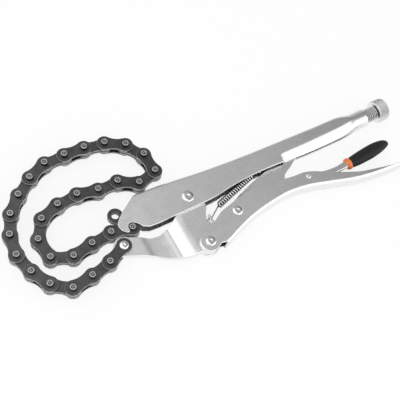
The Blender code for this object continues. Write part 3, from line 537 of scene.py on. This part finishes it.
def link_plates(number):
    """The plates of one link, and the bush of an inner one."""
    outer = number % 2 == 1
    low = OUTER_LOW if outer else INNER_LOW
    if outer:
        holes = [(0, 2.8)] if number == 1 else []
    else:
        holes = [(0, BORE), (PITCH, BORE)]
    meshes = [link_plate("near", low, low + THICK, holes), link_plate("far", -low - THICK, -low, holes)]
    if not outer:
        for x in (0, PITCH):
            high = INNER_LOW + THICK - 0.02
            profile = [(BORE - 0.12, high), (BORE + 1.4, high), (BORE + 1.4, -high), (BORE - 0.12, -high)]
            meshes.append(lathe("bush", profile, 32, "Z", (x, 0, 0), True))
    return joined("plates", meshes)


def pin_profile():
    """A riveted pin end: a ring of spread metal round a small dot, the same at both ends."""
    top = PIN_TOP
    upper = [
        (0, top - 0.16), (0.45, top - 0.18), (0.75, top - 0.42), (1.05, top - 0.44), (1.40, top - 0.06),
        (1.70, top), (2.05, top - 0.04), (2.35, top - 0.22), (2.52, top - 0.50), (2.6, top - 0.85), (2.6, OUTER_LOW + THICK + 0.10),
        (2.52, OUTER_LOW + THICK - 0.10), (2.52, 0),
    ]
    return upper + [(r, -z) for r, z in reversed(upper[:-1])]


def pin_painted_shade(radius, height):
    """Painted shade on the pin's side and in the sunken ring round its dot; its spread top keeps the bright colour."""
    if radius > 2.45 or 0.7 < radius < 1.1:
        return 1.0
    return 0.0


def build_chain():
    shapes = {}
    for number in range(1, 31):
        start, end = PINS[number - 1], PINS[number]
        turn = Matrix.Rotation(atan2(end.y - start.y, end.x - start.x), 4, "Z")
        lay = Matrix.Translation((start.x, start.y, 0)) @ turn
        kind = 1 if number == 1 else 3 if number % 2 else 2
        if kind not in shapes:
            shapes[kind] = link_plates(number)
        mesh = shapes[kind].copy()
        mesh.transform(lay)
        piece(f"chain_plates_{number:02d}", mesh, CHAIN, f"link_{number:02d}", [f"chain_link_{number:02d}"], sharp=50)
        if number % 2:
            ends = [PITCH] if number == 1 else [0, PITCH]
            pins = joined("pins", [lathe("pin", pin_profile(), 32, "Z", (x, 0, 0), False, pin_painted_shade) for x in ends])
            pins.transform(lay)
            piece(f"chain_pins_{number:02d}", pins, PIN, f"link_{number:02d}", (), weighted=False, sharp=60)


# Sheet metal ------------------------------------------------------------------

SHEET, JAW_SHEET = 2.0, 1.6
REACH, TOP, EDGE, TUBE = 168.0, 19.5, 9.0, 7.5
NOSE_HALF, NOSE = 6.3, 9.2
UPPER_ROWS = (
    (-0.357, 1.118, 1.200, 0.840, 0.400, 0, 4.3, 2.0, 0),
    (-0.202, 1.000, 1.200, 0.840, 0.400, 0, 4.3, 2.0, 0),
    (-0.042, 0.897, 1.200, 0.840, 0.400, 0, 4.3, 2.0, 0),
    (0.113, 0.749, 1.180, 0.840, 0.400, 0, 4.3, 2.0, 0),
    (0.321, 0.615, 1.000, 0.840, 0.400, 0, 4.3, 2.0, 0),
    (0.452, 0.559, 0.920, 0.867, 0.400, 0, 4.3, 2.0, 0),
    (0.486, 0.548, 0.850, 0.875, 0.400, 0, 5.2, 1.9, 0),
    (0.504, 0.541, 0.830, 0.880, 0.400, 30, 5.2, 1.9, 76),
    (0.540, 0.528, 0.842, 0.885, 0.400, 30, 5.2, 1.9, 76),
    (0.600, 0.508, 0.898, 0.905, 0.400, 30, 5.4, 1.9, 76),
    (0.670, 0.482, 0.945, 0.918, 0.400, 30, 5.6, 1.9, 77),
    (0.720, 0.462, 0.970, 0.933, 0.400, 30, 5.8, 2.0, 78),
    (0.800, 0.452, 0.985, 0.948, 0.420, 30, 5.8, 2.3, 78),
    (0.845, 0.446, 0.980, 0.960, 0.450, 28, 5.4, 3.0, 82),
    (0.893, 0.410, 0.900, 0.987, 0.667, 20, 3.6, 5.0, 86),
    (0.929, 0.385, 0.833, 1.000, 0.950, 0, 0.0, 7.1, 88),
    (1.000, 0.385, 0.833, 1.000, 0.950, 0, 0.0, 7.1, 88),
)
UPPER_EDGE = (
    (-0.217, -0.933), (-0.176, -1.000), (-0.100, -1.022), (0.028, -1.056),
    (0.115, -1.022), (0.196, -0.844), (0.294, -0.700), (0.405, -0.711),
    (0.489, -0.797),
)
NOSE_LINE = (
    (1.380, 2.424), (-0.054, 1.522), (-0.728, 0.967), (-0.957, 0.674),
    (-1.000, 0.348), (-0.880, 0.011), (-0.641, -0.239), (-0.446, -0.315),
)


def channel(name, sections, opens_down, steps, sheet):
    """A folded channel with its thickness, lofted along X as one closed mesh.

    Each section is its place along X, the height of the web and of the two edges, the half width
    and the radius of the fold. Below these a wall bends in by a tilt, runs straight for a length
    and curls under, by a radius, as far as an end angle.
    """
    side, bend = (1 if opens_down else -1), 5.0
    rings = []
    for along, web, edge, half, corner, tilt, length, low, end in sections:
        tilt, end = radians(tilt), radians(end)
        start = abs(web - edge) - bend * sin(tilt) - length * cos(tilt) - low * (sin(end) - sin(tilt))
        row = []
        for i in range(steps + 1):
            turn = pi / 2 * i / steps
            row.append((half - corner * (1 - sin(turn)), corner * (1 - cos(turn)), -sin(turn), cos(turn)))
        for i in range(steps + 1):
            turn = tilt * i / steps
            row.append((half - bend * (1 - cos(turn)), start + bend * sin(turn), -cos(turn), -sin(turn)))
        z, d = row[-1][0] - length * sin(tilt), row[-1][1] + length * cos(tilt)
        for i in range(steps + 1):
            turn = tilt + (end - tilt) * i / steps
            row.append((z - low * (cos(tilt) - cos(turn)), d + low * (sin(turn) - sin(tilt)), -cos(turn), -sin(turn)))
        full = [(-z, d, -nz, nd) for z, d, nz, nd in reversed(row)] + [(0, 0, 0, 1)] + row
        outer = [(along, web - side * d, z) for z, d, _, _ in full]
        inner = [(along, web - side * (d + sheet * nd), z + sheet * nz) for z, d, nz, nd in full]
        rings.append((outer, inner))
    width = len(rings[0][0])
    points, faces = [], []
    for outer, inner in rings:
        points += outer + inner[::-1]
    around = 2 * width
    for i in range(len(rings) - 1):
        for j in range(around):
            k = (j + 1) % around
            faces.append((i * around + j, i * around + k, (i + 1) * around + k, (i + 1) * around + j))
    for first in (0, (len(rings) - 1) * around):
        faces += [(first + j, first + j + 1, first + around - 2 - j, first + around - 1 - j) for j in range(width - 1)]
    mesh = bpy.data.meshes.new(name)
    mesh.from_pydata(points, [], faces)
    # painted shade: the inner side of the sheet is marked, so it takes the dark shade colour
    mark(mesh, "painted_shade", ([0.0] * width + [1.0] * width) * len(rings))
    work = bmesh.new()
    work.from_mesh(mesh)
    bmesh.ops.remove_doubles(work, verts=work.verts, dist=0.001)
    bmesh.ops.recalc_face_normals(work, faces=work.faces)
    work.to_mesh(mesh)
    work.free()
    return link_up(name, mesh)


def upper_outline():
    notch = arc(HOOK, 3.0, 205, 40, 20)
    wall = spread(((0.457, 0.065), (0.793, -0.348)), NOSE, NOSE, HOOK)
    edge = smooth(spread(UPPER_EDGE, REACH, EDGE), 6)
    nose = spread(NOSE_LINE, NOSE, NOSE, HOOK)
    nose = nose[:1] + smooth(nose[1:], 5)
    far = REACH + 4
    behind = [(edge[-1].x, -2 * TOP), (far, -2 * TOP), (far, 2 * TOP), (nose[0].x, 2 * TOP)]
    return nose + notch + wall + edge + [Vector(p) for p in behind]


def build_upper_handle():
    rows = dense_rows(UPPER_ROWS, 0.022)
    sections = [
        (along * REACH, web * TOP, -edge * EDGE, half * TUBE, corner * TUBE, *curl)
        for along, web, edge, half, corner, *curl in rows
    ]
    item = channel("upper_channel", sections, True, 8, 1.8)
    combine(item, plate("side_view", [upper_outline()], -TUBE - 4, TUBE + 4), "INTERSECT")
    bore_start = REACH - 20
    combine(item, cylinder("bore", 6.3, bore_start, REACH + 4, (0, 0, 0), 64, "X"), "DIFFERENCE")
    mesh = baked(item)
    piece("upper_handle_sheet", mesh, NICKEL, "upper_handle", ["upper_handle"], bevel=0.35)
    tab = box("tab", (60.2, -4.3, -2.6), (61.8, 11.0, 2.6))
    piece("spring_tab", tab, SHADED_INNER_STEEL, "upper_handle", (), bevel=0.25)


JAW_TOP = (
    (-0.881, -0.213), (-0.755, -0.312), (-0.680, -0.395), (-0.611, -0.426),
    (-0.554, -0.439), (-0.461, -0.400), (-0.419, -0.392), (-0.367, -0.348),
    (-0.235, -0.208),
)
JAW_REAR = (
    (0.153, -0.130), (0.153, -0.317), (0.096, -0.455), (0.070, -0.582),
    (0.092, -0.668), (0.155, -0.712),
)
JAW_BOTTOM = (
    (-0.181, -1.086), (-0.347, -1.055), (-0.498, -0.987), (-0.651, -0.855),
    (-0.696, -0.790), (-0.847, -0.647),
)
ANCHOR_REACH, HINGE_DROP = 59.6, 38.5


def jaw_widths(inset):
    """Half widths along X with soft creases, from the thin tang to the yoke."""
    rough = [
        (-72, 2.1), (-47, 2.1), (-46, 2.05), (-42.5, 1.68), (-40, 1.62), (-34.5, 1.67), (-30, 1.84),
        (-26.0, 2.14), (-25.2, 2.18), (-24.4, 2.34), (-14.5, 3.82), (-11.0, 4.0), (18, 4.0),
    ]
    at = np.linspace(-72, 18, 151)
    values = pchip([p[0] for p in rough], [p[1] for p in rough], at)
    near = [Vector((x, z - inset)) for x, z in zip(at, values)]
    far = [Vector((x, inset - z)) for x, z in zip(at[::-1], values[::-1])]
    return near + far


def build_jaw():
    top = smooth(spread(JAW_TOP, ANCHOR_REACH, HINGE_DROP), 5)
    boss = arc((0, 0), 9.0, 225, 0, 30)
    rear = smooth(spread(JAW_REAR, ANCHOR_REACH, HINGE_DROP), 5)
    hinge = arc(HINGE, 6.8, 20, -120, 20)
    bottom = smooth(spread(JAW_BOTTOM, ANCHOR_REACH, HINGE_DROP), 5)
    tang = arc(ANCHOR, 7.6, -110, -325, 30)
    item = link_up("jaw_plate", plate("jaw_plate", [top + boss + rear + hinge + bottom + tang], -4.3, 4.3))
    combine(item, section_solid("widths", jaw_widths(0), 80), "INTERSECT")
    line = [Vector((p.x, p.y + 1.8)) for p in (
        [Vector((ANCHOR.x - 11.6, ANCHOR.y - 5.8)), Vector((ANCHOR.x, ANCHOR.y - 5.8))]
        + list(reversed(bottom)) + [Vector((HINGE.x, HINGE.y - 6.8)), Vector((13, HINGE.y - 6.8))]
    )]
    hollow = link_up("hollow", section_solid("hollow", jaw_widths(JAW_SHEET), 80))
    combine(hollow, plate("view", [line + [Vector((13, 13)), Vector((line[0].x, 13))]], -4, 4), "INTERSECT")
    combine(item, baked(hollow), "DIFFERENCE")
    for place, shaft in ((ANCHOR, 2.8), ((0, 0), 3.5), (HINGE, 3.1)):
        combine(item, cylinder("hole", shaft, -11, 11, (place[0], place[1], 0), 32), "DIFFERENCE")
    piece("lower_jaw_sheet", baked(item), NICKEL, "jaw", ["lower_jaw"], bevel=0.3)
    ear = box("ear", (7.2, -27.6, -2.6), (8.8, -18.4, 2.6))
    hole = link_up("ear_body", ear)
    combine(hole, cylinder("ear_hole", 1.0, -4, 4, (8, -21, 0), 20, "X"), "DIFFERENCE")
    piece("spring_ear", baked(hole), NICKEL, "jaw", (), bevel=0.3)


LOWER_REACH, LOWER_DROP = 169.5, 51.5
LOWER_TOP = (
    (1.000, -0.998), (0.994, -0.963), (0.946, -0.930), (0.860, -0.866),
    (0.793, -0.810), (0.738, -0.736), (0.661, -0.612), (0.618, -0.536),
    (0.575, -0.466), (0.537, -0.427), (0.491, -0.416), (0.444, -0.392),
    (0.385, -0.351), (0.319, -0.332), (0.235, -0.324), (0.201, -0.346),
    (0.143, -0.386), (0.096, -0.425), (0.051, -0.501), (0.009, -0.561),
)
LOWER_FLOOR = (
    (-0.083, -1.087), (0.040, -1.087), (0.047, -0.893), (0.071, -0.870),
    (0.126, -0.802), (0.230, -0.703), (0.324, -0.654), (0.419, -0.633),
    (0.472, -0.647), (0.543, -0.689), (0.619, -0.763), (0.696, -0.843),
    (0.773, -0.913), (0.861, -0.961), (0.956, -0.990), (1.009, -1.002),
)


def build_lower_handle():
    dense = dense_rows([(a, b) for a, b in LOWER_FLOOR], 0.02)
    sections = [(a * LOWER_REACH, b * LOWER_DROP, -10.6, NOSE_HALF, 3.0, 0, 1.0, 1.0, 0) for a, b in dense]
    item = channel("lower_channel", sections, False, 7, 2.0)
    front = arc(HINGE, 7.5, 96, 300, 36)
    cutout = spread(((0.009, -0.866), (0.028, -0.839), (0.050, -0.866)), LOWER_REACH, LOWER_DROP)
    low = -LOWER_DROP * 1.3
    under = [Vector((cutout[-1].x, low)), Vector((LOWER_REACH, low))]
    top = smooth(spread(LOWER_TOP, LOWER_REACH, LOWER_DROP), 5)
    outline = top + front + smooth(cutout, 6) + under
    combine(item, plate("side_view", [outline], -10.3, 10.3), "INTERSECT")
    for place, shaft in ((HINGE, 3.1), (LINK_PIN, 3.1), (LEVER_PIN, 1.8)):
        combine(item, cylinder("hole", shaft, -11, 11, (place[0], place[1], 0), 32), "DIFFERENCE")
    piece("lower_handle_sheet", baked(item), NICKEL, "lower_handle", ["lower_handle"], bevel=0.35)


LINK_TOP = ((0.016, 0.302), (0.210, 0.540), (0.417, 0.713), (0.635, 0.894), (0.854, 1.045), (0.951, 1.113))
LINK_UNDER = (
    (0.964, 0.879), (0.878, 0.789), (0.795, 0.683), (0.713, 0.532),
    (0.629, 0.411), (0.594, 0.283), (0.514, 0.264), (0.271, 0.019),
    (0.077, -0.208),
)


def build_link():
    reach, rise = 82.3, -LINK_PIN.y
    tip = Vector((LINK_PIN.x + reach, 0))
    top = spread(LINK_TOP, reach, rise, LINK_PIN)
    nose = arc((tip.x - 3.0, tip.y), 3.0, 80, -80, 16)
    under = smooth(spread(LINK_UNDER, reach, rise, LINK_PIN), 4)
    front = arc(LINK_PIN, 7.0, 300, 95, 24)
    item = link_up("link_plate", plate("link_plate", [smooth(top, 4) + nose + under + front], -4.0, 4.0))
    wide, thin = LINK_PIN.x + 0.11 * reach, LINK_PIN.x + 0.15 * reach
    half = [(-reach, 4.0), (wide, 4.0), (thin, 1.7), (2 * reach, 1.7)]
    widths = [Vector(p) for p in half] + [Vector((x, -z)) for x, z in reversed(half)]
    combine(item, section_solid("widths", widths, 2 * reach), "INTERSECT")
    slot = [Vector((p.x, p.y - 2.0)) for p in (top[0], top[0].lerp(top[1], 0.4))]
    start = Vector((LINK_PIN.x - 14, slot[0].y - 7))
    below = [Vector((slot[-1].x, 2 * LINK_PIN.y)), Vector((start.x, 2 * LINK_PIN.y)), start]
    combine(item, plate("slot", [slot + below], -2.4, 2.4), "DIFFERENCE")
    combine(item, cylinder("hole", 3.1, -11, 11, (LINK_PIN.x, LINK_PIN.y, 0), 32), "DIFFERENCE")
    piece("toggle_link_sheet", baked(item), NICKEL, "toggle_link", ["toggle_link"], bevel=0.3)


def build_lever():
    length, depth = 40.0, 10.0
    top = smooth(spread(((0.880, -0.030), (0.688, -0.100), (0.410, 0.020), (0.155, 0.400)), length, depth, LEVER_PIN), 5)
    boss = arc(LEVER_PIN, 5.2, 60, 130, 10)
    nose = smooth(spread(((-0.340, 0.330), (-0.365, 0.150), (-0.330, -0.050), (-0.190, -0.200)), length, depth, LEVER_PIN), 4)
    under = smooth(spread(((-0.095, -0.460), (0.105, -0.520), (0.380, -0.640), (0.673, -0.630), (0.880, -0.630)), length, depth, LEVER_PIN), 5)
    start, middle = LEVER_PIN.x + 36.7, LEVER_PIN.y - 3.3
    tang = [(start, middle - 3), (start + 34, middle - 1.5), (start + 34, middle + 1.5), (start, middle + 3)]
    mesh = plate("lever", [top + boss + nose + under + [Vector(p) for p in tang]], -1.9, 1.9, 1.3, 5)
    piece("release_lever_plate", mesh, NICKEL, "release_lever", ["release_lever"], sharp=50)


# Round and moulded pieces -----------------------------------------------------

def oval_rows(sections, sides):
    return [[(x, y + tall * cos(2 * pi * i / sides), wide * sin(2 * pi * i / sides)) for i in range(sides)] for x, y, tall, wide in sections]


GRIP_ROWS = (
    (0.000, -0.027, 0.790), (0.097, 0.000, 0.893), (0.318, 0.089, 1.000),
    (0.512, 0.179, 1.036), (0.673, 0.268, 0.982), (0.811, 0.321, 0.839),
    (0.915, 0.357, 0.643), (0.979, 0.330, 0.402), (1.000, 0.320, 0.180),
)


def build_grip():
    start, middle = LEVER_PIN.x + 37.0, LEVER_PIN.y - 3.3
    ring = []
    for share, swell in ((0, 0.80), (0.03, 0.88), (0.10, 0.945), (0.25, 0.985), (0.5, 1.0), (0.75, 0.985), (0.90, 0.945), (0.97, 0.88), (1, 0.80)):
        ring.append((start + share * 3.8, middle, swell * 4.9, swell * 3.9))
    piece("collar_ring", grid_mesh("ring", oval_rows(ring, 48)), ORANGE, "release_lever", ["lever_collar"], sharp=50)
    start += 4.1
    length = 39.6
    rows = dense_rows(GRIP_ROWS, 0.03)
    rows = [(a, b, c * (0.93 if a < 0.004 else 0.985 if a < 0.02 else 1)) for a, b, c in rows]
    body = [(start + a * length, middle + b * 5.4, c * 5.4, c * 3.8) for a, b, c in rows]
    last = body[-1]
    for share in (0.75, 0.45, 0.15):
        body.append((last[0] + 0.02 * (1 - share), last[1], last[2] * share, last[3] * share))
    piece("grip_sleeve", grid_mesh("grip", oval_rows(body, 56)), RUBBER, "release_lever", ["lever_grip"], sharp=60)


def build_screw():
    tip = [(0, 0), (2.9, 0), (3.2, 0.08), (3.62, 0.45), (3.7, 0.7), (3.7, 2.5), (3.6, 2.6), (1.6, 2.6), (1.6, 6.6), (0, 6.6)]
    piece("screw_point", lathe("tip", tip, 32, "X", (112.6, 0, 0)), SCREW, "screw_tip", ["screw_tip"], weighted=False, sharp=45)
    start, end = 149.7, 179.7
    crest, root, pitch, sides = 6.0, 5.1, 1.75, 56
    count = int((end - start) / pitch * 12)
    rows = []
    for i in range(count + 1):
        x = start + (end - start) * i / count
        ease = min(1, (x - start) / 1.0, (end - x) / 0.6)
        row = []
        for k in range(sides):
            phase = ((x - start) / pitch - k / sides) % 1
            tooth = min(1, max(0, 1.15 - 2.9 * abs(phase - 0.5)) ** 0.9)
            radius = root + (crest - root) * tooth * max(0, ease)
            row.append((x, radius * cos(2 * pi * k / sides), radius * sin(2 * pi * k / sides)))
        rows.append(row)
    thread = grid_mesh("thread", rows)
    radii = [(y * y + z * z) ** 0.5 for row in rows for x, y, z in row]
    # painted shade: the thread's roots are darkened so the turns stand out
    mark(thread, "painted_shade", [max(0, min(1, (crest - 0.20 - r) / (crest - root) * 1.8)) for r in radii])
    shank = lathe("shank", [(0, 119.6), (3.9, 119.6), (4.0, 119.75), (4.0, 148.8), (4.9, 149.7)], 40, "X")
    spigot = cylinder("spigot", 4.0, 179.6, 185.0, (0, 0, 0), 40, "X")
    piece("screw_thread", joined("screw", [thread, shank, spigot]), SCREW, "adjusting_screw", ["adjusting_screw"], weighted=False, sharp=60)
    build_knob()


def build_knob():
    """A knurled knob: crossed helical grooves leave small pyramids round the rim."""
    start, length, radius, chamfer = 180.0, 9.395, 9.4, 1.1
    teeth, sides, steps = 38, 304, 56
    lead = 2 * pi * radius / teeth
    rows, dark = [], []
    back = [(4.3, 0.0), (5.2, 0.0), (5.6, 0.25), (6.8, 0.25), (7.2, 0.0), (radius - chamfer, 0.0)]
    for r, x in back:
        rows.append([(start + x, r * cos(2 * pi * k / sides), r * sin(2 * pi * k / sides)) for k in range(sides)])
    for i in range(steps + 1):
        share = i / steps
        x = length * share
        cap = min(1, x / chamfer, (length - x) / chamfer)
        top = radius - chamfer + chamfer * sin(cap * pi / 2) ** 0.8
        row = []
        for k in range(sides):
            angle = 2 * pi * k / sides
            u = (teeth * k / sides + x / lead) % 1
            v = (teeth * k / sides - x / lead) % 1
            depth = 0.42 * (1 - min(abs(2 * u - 1), 1)) + 0.42 * (1 - min(abs(2 * v - 1), 1))
            r = top - depth * min(1, cap * 1.2)
            # painted shade: the bottoms of the knurl grooves are darkened
            dark.append(max(0, min(1, (depth - 0.34) / 0.24)) * min(1, cap * 1.2))
            row.append((start + x, r * cos(angle), r * sin(angle)))
        rows.append(row)
    front = [(radius - chamfer, 0.0), (7.4, 0.0), (7.0, -0.25), (5.0, -0.25), (4.6, 0.0), (0.6, 0.0)]
    for r, x in front:
        rows.append([(start + length + x, r * cos(2 * pi * k / sides), r * sin(2 * pi * k / sides)) for k in range(sides)])
    knob = grid_mesh("knob", rows)
    mark(knob, "painted_shade", [0.0] * (len(back) * sides) + dark + [0.0] * (len(front) * sides))
    piece("knob_knurled", knob, KNOB, "adjusting_screw", ["screw_knob"], weighted=False, sharp=75)


def rivet_mesh(centre, shaft, head, grip_half):
    """Low domes with a flat ring and a dimple, at both ends of a shaft."""
    seat = grip_half + 0.3
    top = seat + 1.2
    upper = [
        (0, top - 0.42), (0.10 * head, top - 0.42), (0.17 * head, top - 0.34), (0.235 * head, top - 0.06), (0.29 * head, top),
        (0.42 * head, top - 0.015), (0.56 * head, top - 0.06), (0.68 * head, top - 0.14), (0.79 * head, top - 0.27),
        (0.875 * head, top - 0.42), (0.935 * head, top - 0.60), (0.975 * head, top - 0.78), (head, top - 0.98), (head, seat), (shaft, seat), (shaft, 0),
    ]
    profile = upper + [(r, -z) for r, z in reversed(upper[:-1])]
    return lathe("rivet", profile, 48, "Z", (centre[0], centre[1], 0))


def build_rivets():
    for node, body, centre, shaft, head, half in (
        ("jaw_rivet", "upper_handle", (0, 0), 3.2, 4.8, 6.3),
        ("hinge_rivet", "lower_handle", HINGE, 2.8, 4.1, 6.3),
        ("link_rivet", "lower_handle", LINK_PIN, 2.8, 4.1, 6.3),
        ("lever_rivet", "lower_handle", LEVER_PIN, 1.5, 2.2, 6.3),
        ("anchor_rivet", "jaw", ANCHOR, 2.5, 3.5, 3.9),
    ):
        piece(f"{node}_domed", rivet_mesh(centre, shaft, head, half), RIVET, body, [node], weighted=False, sharp=50)


def build_spring():
    """One unbroken wire: a hook through the jaw's ear, the coil, a hook in the tab."""
    wire, coil, points_a_turn = 0.58, 2.25, 28
    start, end = Vector((18.9, -15.0, 0)), Vector((55.0, -4.6, 0))
    axis = (end - start).normalized()
    side = Vector((0, 0, 1))
    over = side.cross(axis)
    turns = round((end - start).length / 2.05)
    ear, tab = Vector((8, -21, 0)), Vector((61, -2.7, 0))
    path = [ear + Vector((-2.2, -2.6, 0)), ear + Vector((-2.2, -1.0, 0)), ear + Vector((-1.9, -0.2, 0)), ear, ear + Vector((1.9, 0.1, 0)), ear + Vector((3.2, 1.0, 0))]
    count = turns * points_a_turn
    for i in range(count + 1):
        ramp = min(1, i / 12, (count - i) / 12)
        angle = 2 * pi * i / points_a_turn
        path.append(start.lerp(end, i / count) + coil * ramp * (cos(angle) * over + sin(angle) * side))
    path += [tab + Vector((-3.0, -0.6, 0)), tab + Vector((-1.4, 0, 0)), tab, tab + Vector((1.4, 0, 0)), tab + Vector((2.1, -0.4, 0)), tab + Vector((2.2, -1.2, 0)), tab + Vector((2.2, -2.6, 0))]
    rows, dark = [], []
    normal = Vector((0, 0, 1))
    for i, p in enumerate(path):
        a, b = path[max(0, i - 1)], path[min(len(path) - 1, i + 1)]
        tangent = (b - a).normalized()
        normal = (normal - normal.dot(tangent) * tangent).normalized()
        binormal = tangent.cross(normal)
        ring = [cos(2 * pi * k / 8) * normal + sin(2 * pi * k / 8) * binormal for k in range(8)]
        rows.append([p + wire * q for q in ring])
        # painted shade: the side of the wire facing the coil's axis is darkened, so the coil's inside reads as shade
        # between the turns
        inward = (start + axis * (p - start).dot(axis) - p).normalized() if 0 < (p - start).dot(axis) < (end - start).length else Vector((0, 0, 0))
        dark += [max(0, min(1, q.dot(inward) * 2.2 + 1.3)) if inward.length else 0.0 for q in ring]
    mesh = grid_mesh("spring", rows)
    mark(mesh, "painted_shade", dark)
    mesh.name = "return_spring_wire"
    mesh.transform(PLACE)
    mesh.materials.append(SPRING)
    item = link_up("return_spring_wire", mesh)
    mesh.shade_smooth()
    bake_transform(item)
    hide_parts("return_spring")


build_chain()
build_upper_handle()
build_jaw()
build_lower_handle()
build_link()
build_lever()
build_grip()
build_screw()
build_rivets()
build_spring()


# Floor, light and camera ------------------------------------------------------

def build_floor():
    size = 6.0
    mesh = bpy.data.meshes.new("floor")
    mesh.from_pydata([(-size, -size, 0), (size, -size, 0), (size, size, 0), (-size, size, 0)], [], [(0, 1, 2, 3)])
    floor = link_up("floor", mesh)
    floor.location.z = -0.0002
    s = Shader("pale_floor", Roughness=0.85, Specular_IOR_Level=0.1)
    s.colour(s.mixed(s.ranged(s.noise(3, 2, 0.5), 0, 1), (0.93, 0.93, 0.93), (0.94, 0.94, 0.94)))
    rays = s.node("ShaderNodeLightPath")
    seen = s.node("ShaderNodeMath", operation="MAXIMUM")
    s.join(rays.outputs["Is Camera Ray"], seen.inputs[0])
    s.join(rays.outputs["Is Glossy Ray"], seen.inputs[1])
    every = s.node("ShaderNodeMath", operation="MAXIMUM")
    s.join(seen.outputs[0], every.inputs[0])
    s.join(rays.outputs["Is Transmission Ray"], every.inputs[1])
    share = s.node("ShaderNodeMath", operation="MULTIPLY")
    share.inputs[1].default_value = 0.86
    s.join(every.outputs[0], share.inputs[0])
    white = s.node("ShaderNodeEmission")
    white.inputs["Strength"].default_value = 1.0
    blend = s.node("ShaderNodeMixShader")
    s.join(share.outputs[0], blend.inputs[0])
    s.join(s.main.outputs[0], blend.inputs[1])
    s.join(white.outputs[0], blend.inputs[2])
    s.join(blend.outputs[0], s.tree.nodes["Material Output"].inputs["Surface"])
    mesh.materials.append(s.material)


def build_world():
    """A plain studio: white towards the horizon, grey overhead, with a dark card on the right and one behind."""
    world = bpy.data.worlds.new("studio")
    bpy.context.scene.world = world
    world.use_nodes = True
    tree = world.node_tree
    back = tree.nodes["Background"]
    place = tree.nodes.new("ShaderNodeTexCoord")
    parts = tree.nodes.new("ShaderNodeSeparateXYZ")
    tree.links.new(place.outputs["Generated"], parts.inputs[0])
    ramp = tree.nodes.new("ShaderNodeValToRGB")
    tree.links.new(parts.outputs["Z"], ramp.inputs[0])
    ramp.color_ramp.interpolation = "EASE"
    ramp.color_ramp.elements[0].position = 0.30
    ramp.color_ramp.elements[0].color = (1.0, 1.0, 1.0, 1)
    ramp.color_ramp.elements[1].position = 0.80
    ramp.color_ramp.elements[1].color = (0.49, 0.49, 0.49, 1)
    for height, grey in ((0.90, 0.50), (0.965, 0.30)):
        stop = ramp.color_ramp.elements.new(height)
        stop.color = (grey, grey, grey, 1)
    colour = ramp.outputs["Color"]
    for direction, start, end, darkest in (((0.75, 0.30, 0.59), 0.89, 0.975, 0.32), ((0.30, 0.90, 0.31), 0.80, 0.96, 0.50)):
        near = tree.nodes.new("ShaderNodeVectorMath")
        near.operation = "DOT_PRODUCT"
        near.inputs[1].default_value = direction
        tree.links.new(place.outputs["Generated"], near.inputs[0])
        card = tree.nodes.new("ShaderNodeMapRange")
        card.interpolation_type = "SMOOTHSTEP"
        for socket, value in (("From Min", start), ("From Max", end), ("To Min", 1.0), ("To Max", darkest)):
            card.inputs[socket].default_value = value
        tree.links.new(near.outputs["Value"], card.inputs["Value"])
        shade = tree.nodes.new("ShaderNodeVectorMath")
        shade.operation = "SCALE"
        tree.links.new(colour, shade.inputs[0])
        tree.links.new(card.outputs["Result"], shade.inputs["Scale"])
        colour = shade.outputs["Vector"]
    tree.links.new(colour, back.inputs["Color"])
    back.inputs["Strength"].default_value = 1.0


def softbox(name, place, target, size, radiance):
    light = bpy.data.lights.new(name, "AREA")
    light.shape = "RECTANGLE"
    light.size, light.size_y = size
    light.energy = radiance * size[0] * size[1] * pi
    item = bpy.data.objects.new(name, light)
    bpy.context.scene.collection.objects.link(item)
    item.location = place
    item.rotation_euler = (Vector(target) - Vector(place)).to_track_quat("-Z", "Y").to_euler()
    return item


def build_lights():
    softbox("left_box", (-0.695, 0.40, 1.50), (-0.695, 0.40, 0), (1.51, 1.8), 1.40)
    softbox("front_box", (0.59, -1.43, 1.43), (0, 0, 0), (2.8, 1.9), 0.95)


def build_camera():
    azimuth, elevation, roll, distance = radians(-47.55), radians(63.245), radians(19.17), 0.55
    back = Vector((sin(azimuth) * cos(elevation), -cos(azimuth) * cos(elevation), sin(elevation)))
    right = Vector((cos(azimuth), sin(azimuth), 0))
    up = back.cross(right)
    right, up = cos(roll) * right + sin(roll) * up, -sin(roll) * right + cos(roll) * up
    target = ORIGIN + Vector((6.3, -6.9, 6.9)) * MM
    data = bpy.data.cameras.new("photo_camera")
    data.sensor_fit = "HORIZONTAL"
    data.sensor_width = 36
    data.lens = 66.957
    data.clip_start, data.clip_end = 0.01, 50
    camera = bpy.data.objects.new("photo_camera", data)
    bpy.context.scene.collection.objects.link(camera)
    turn = Matrix((right, up, back)).transposed().to_4x4()
    camera.matrix_world = Matrix.Translation(target + back * distance) @ turn
    bpy.context.scene.camera = camera


build_floor()
build_world()
build_lights()
build_camera()
bpy.context.scene.view_settings.view_transform = "Standard"
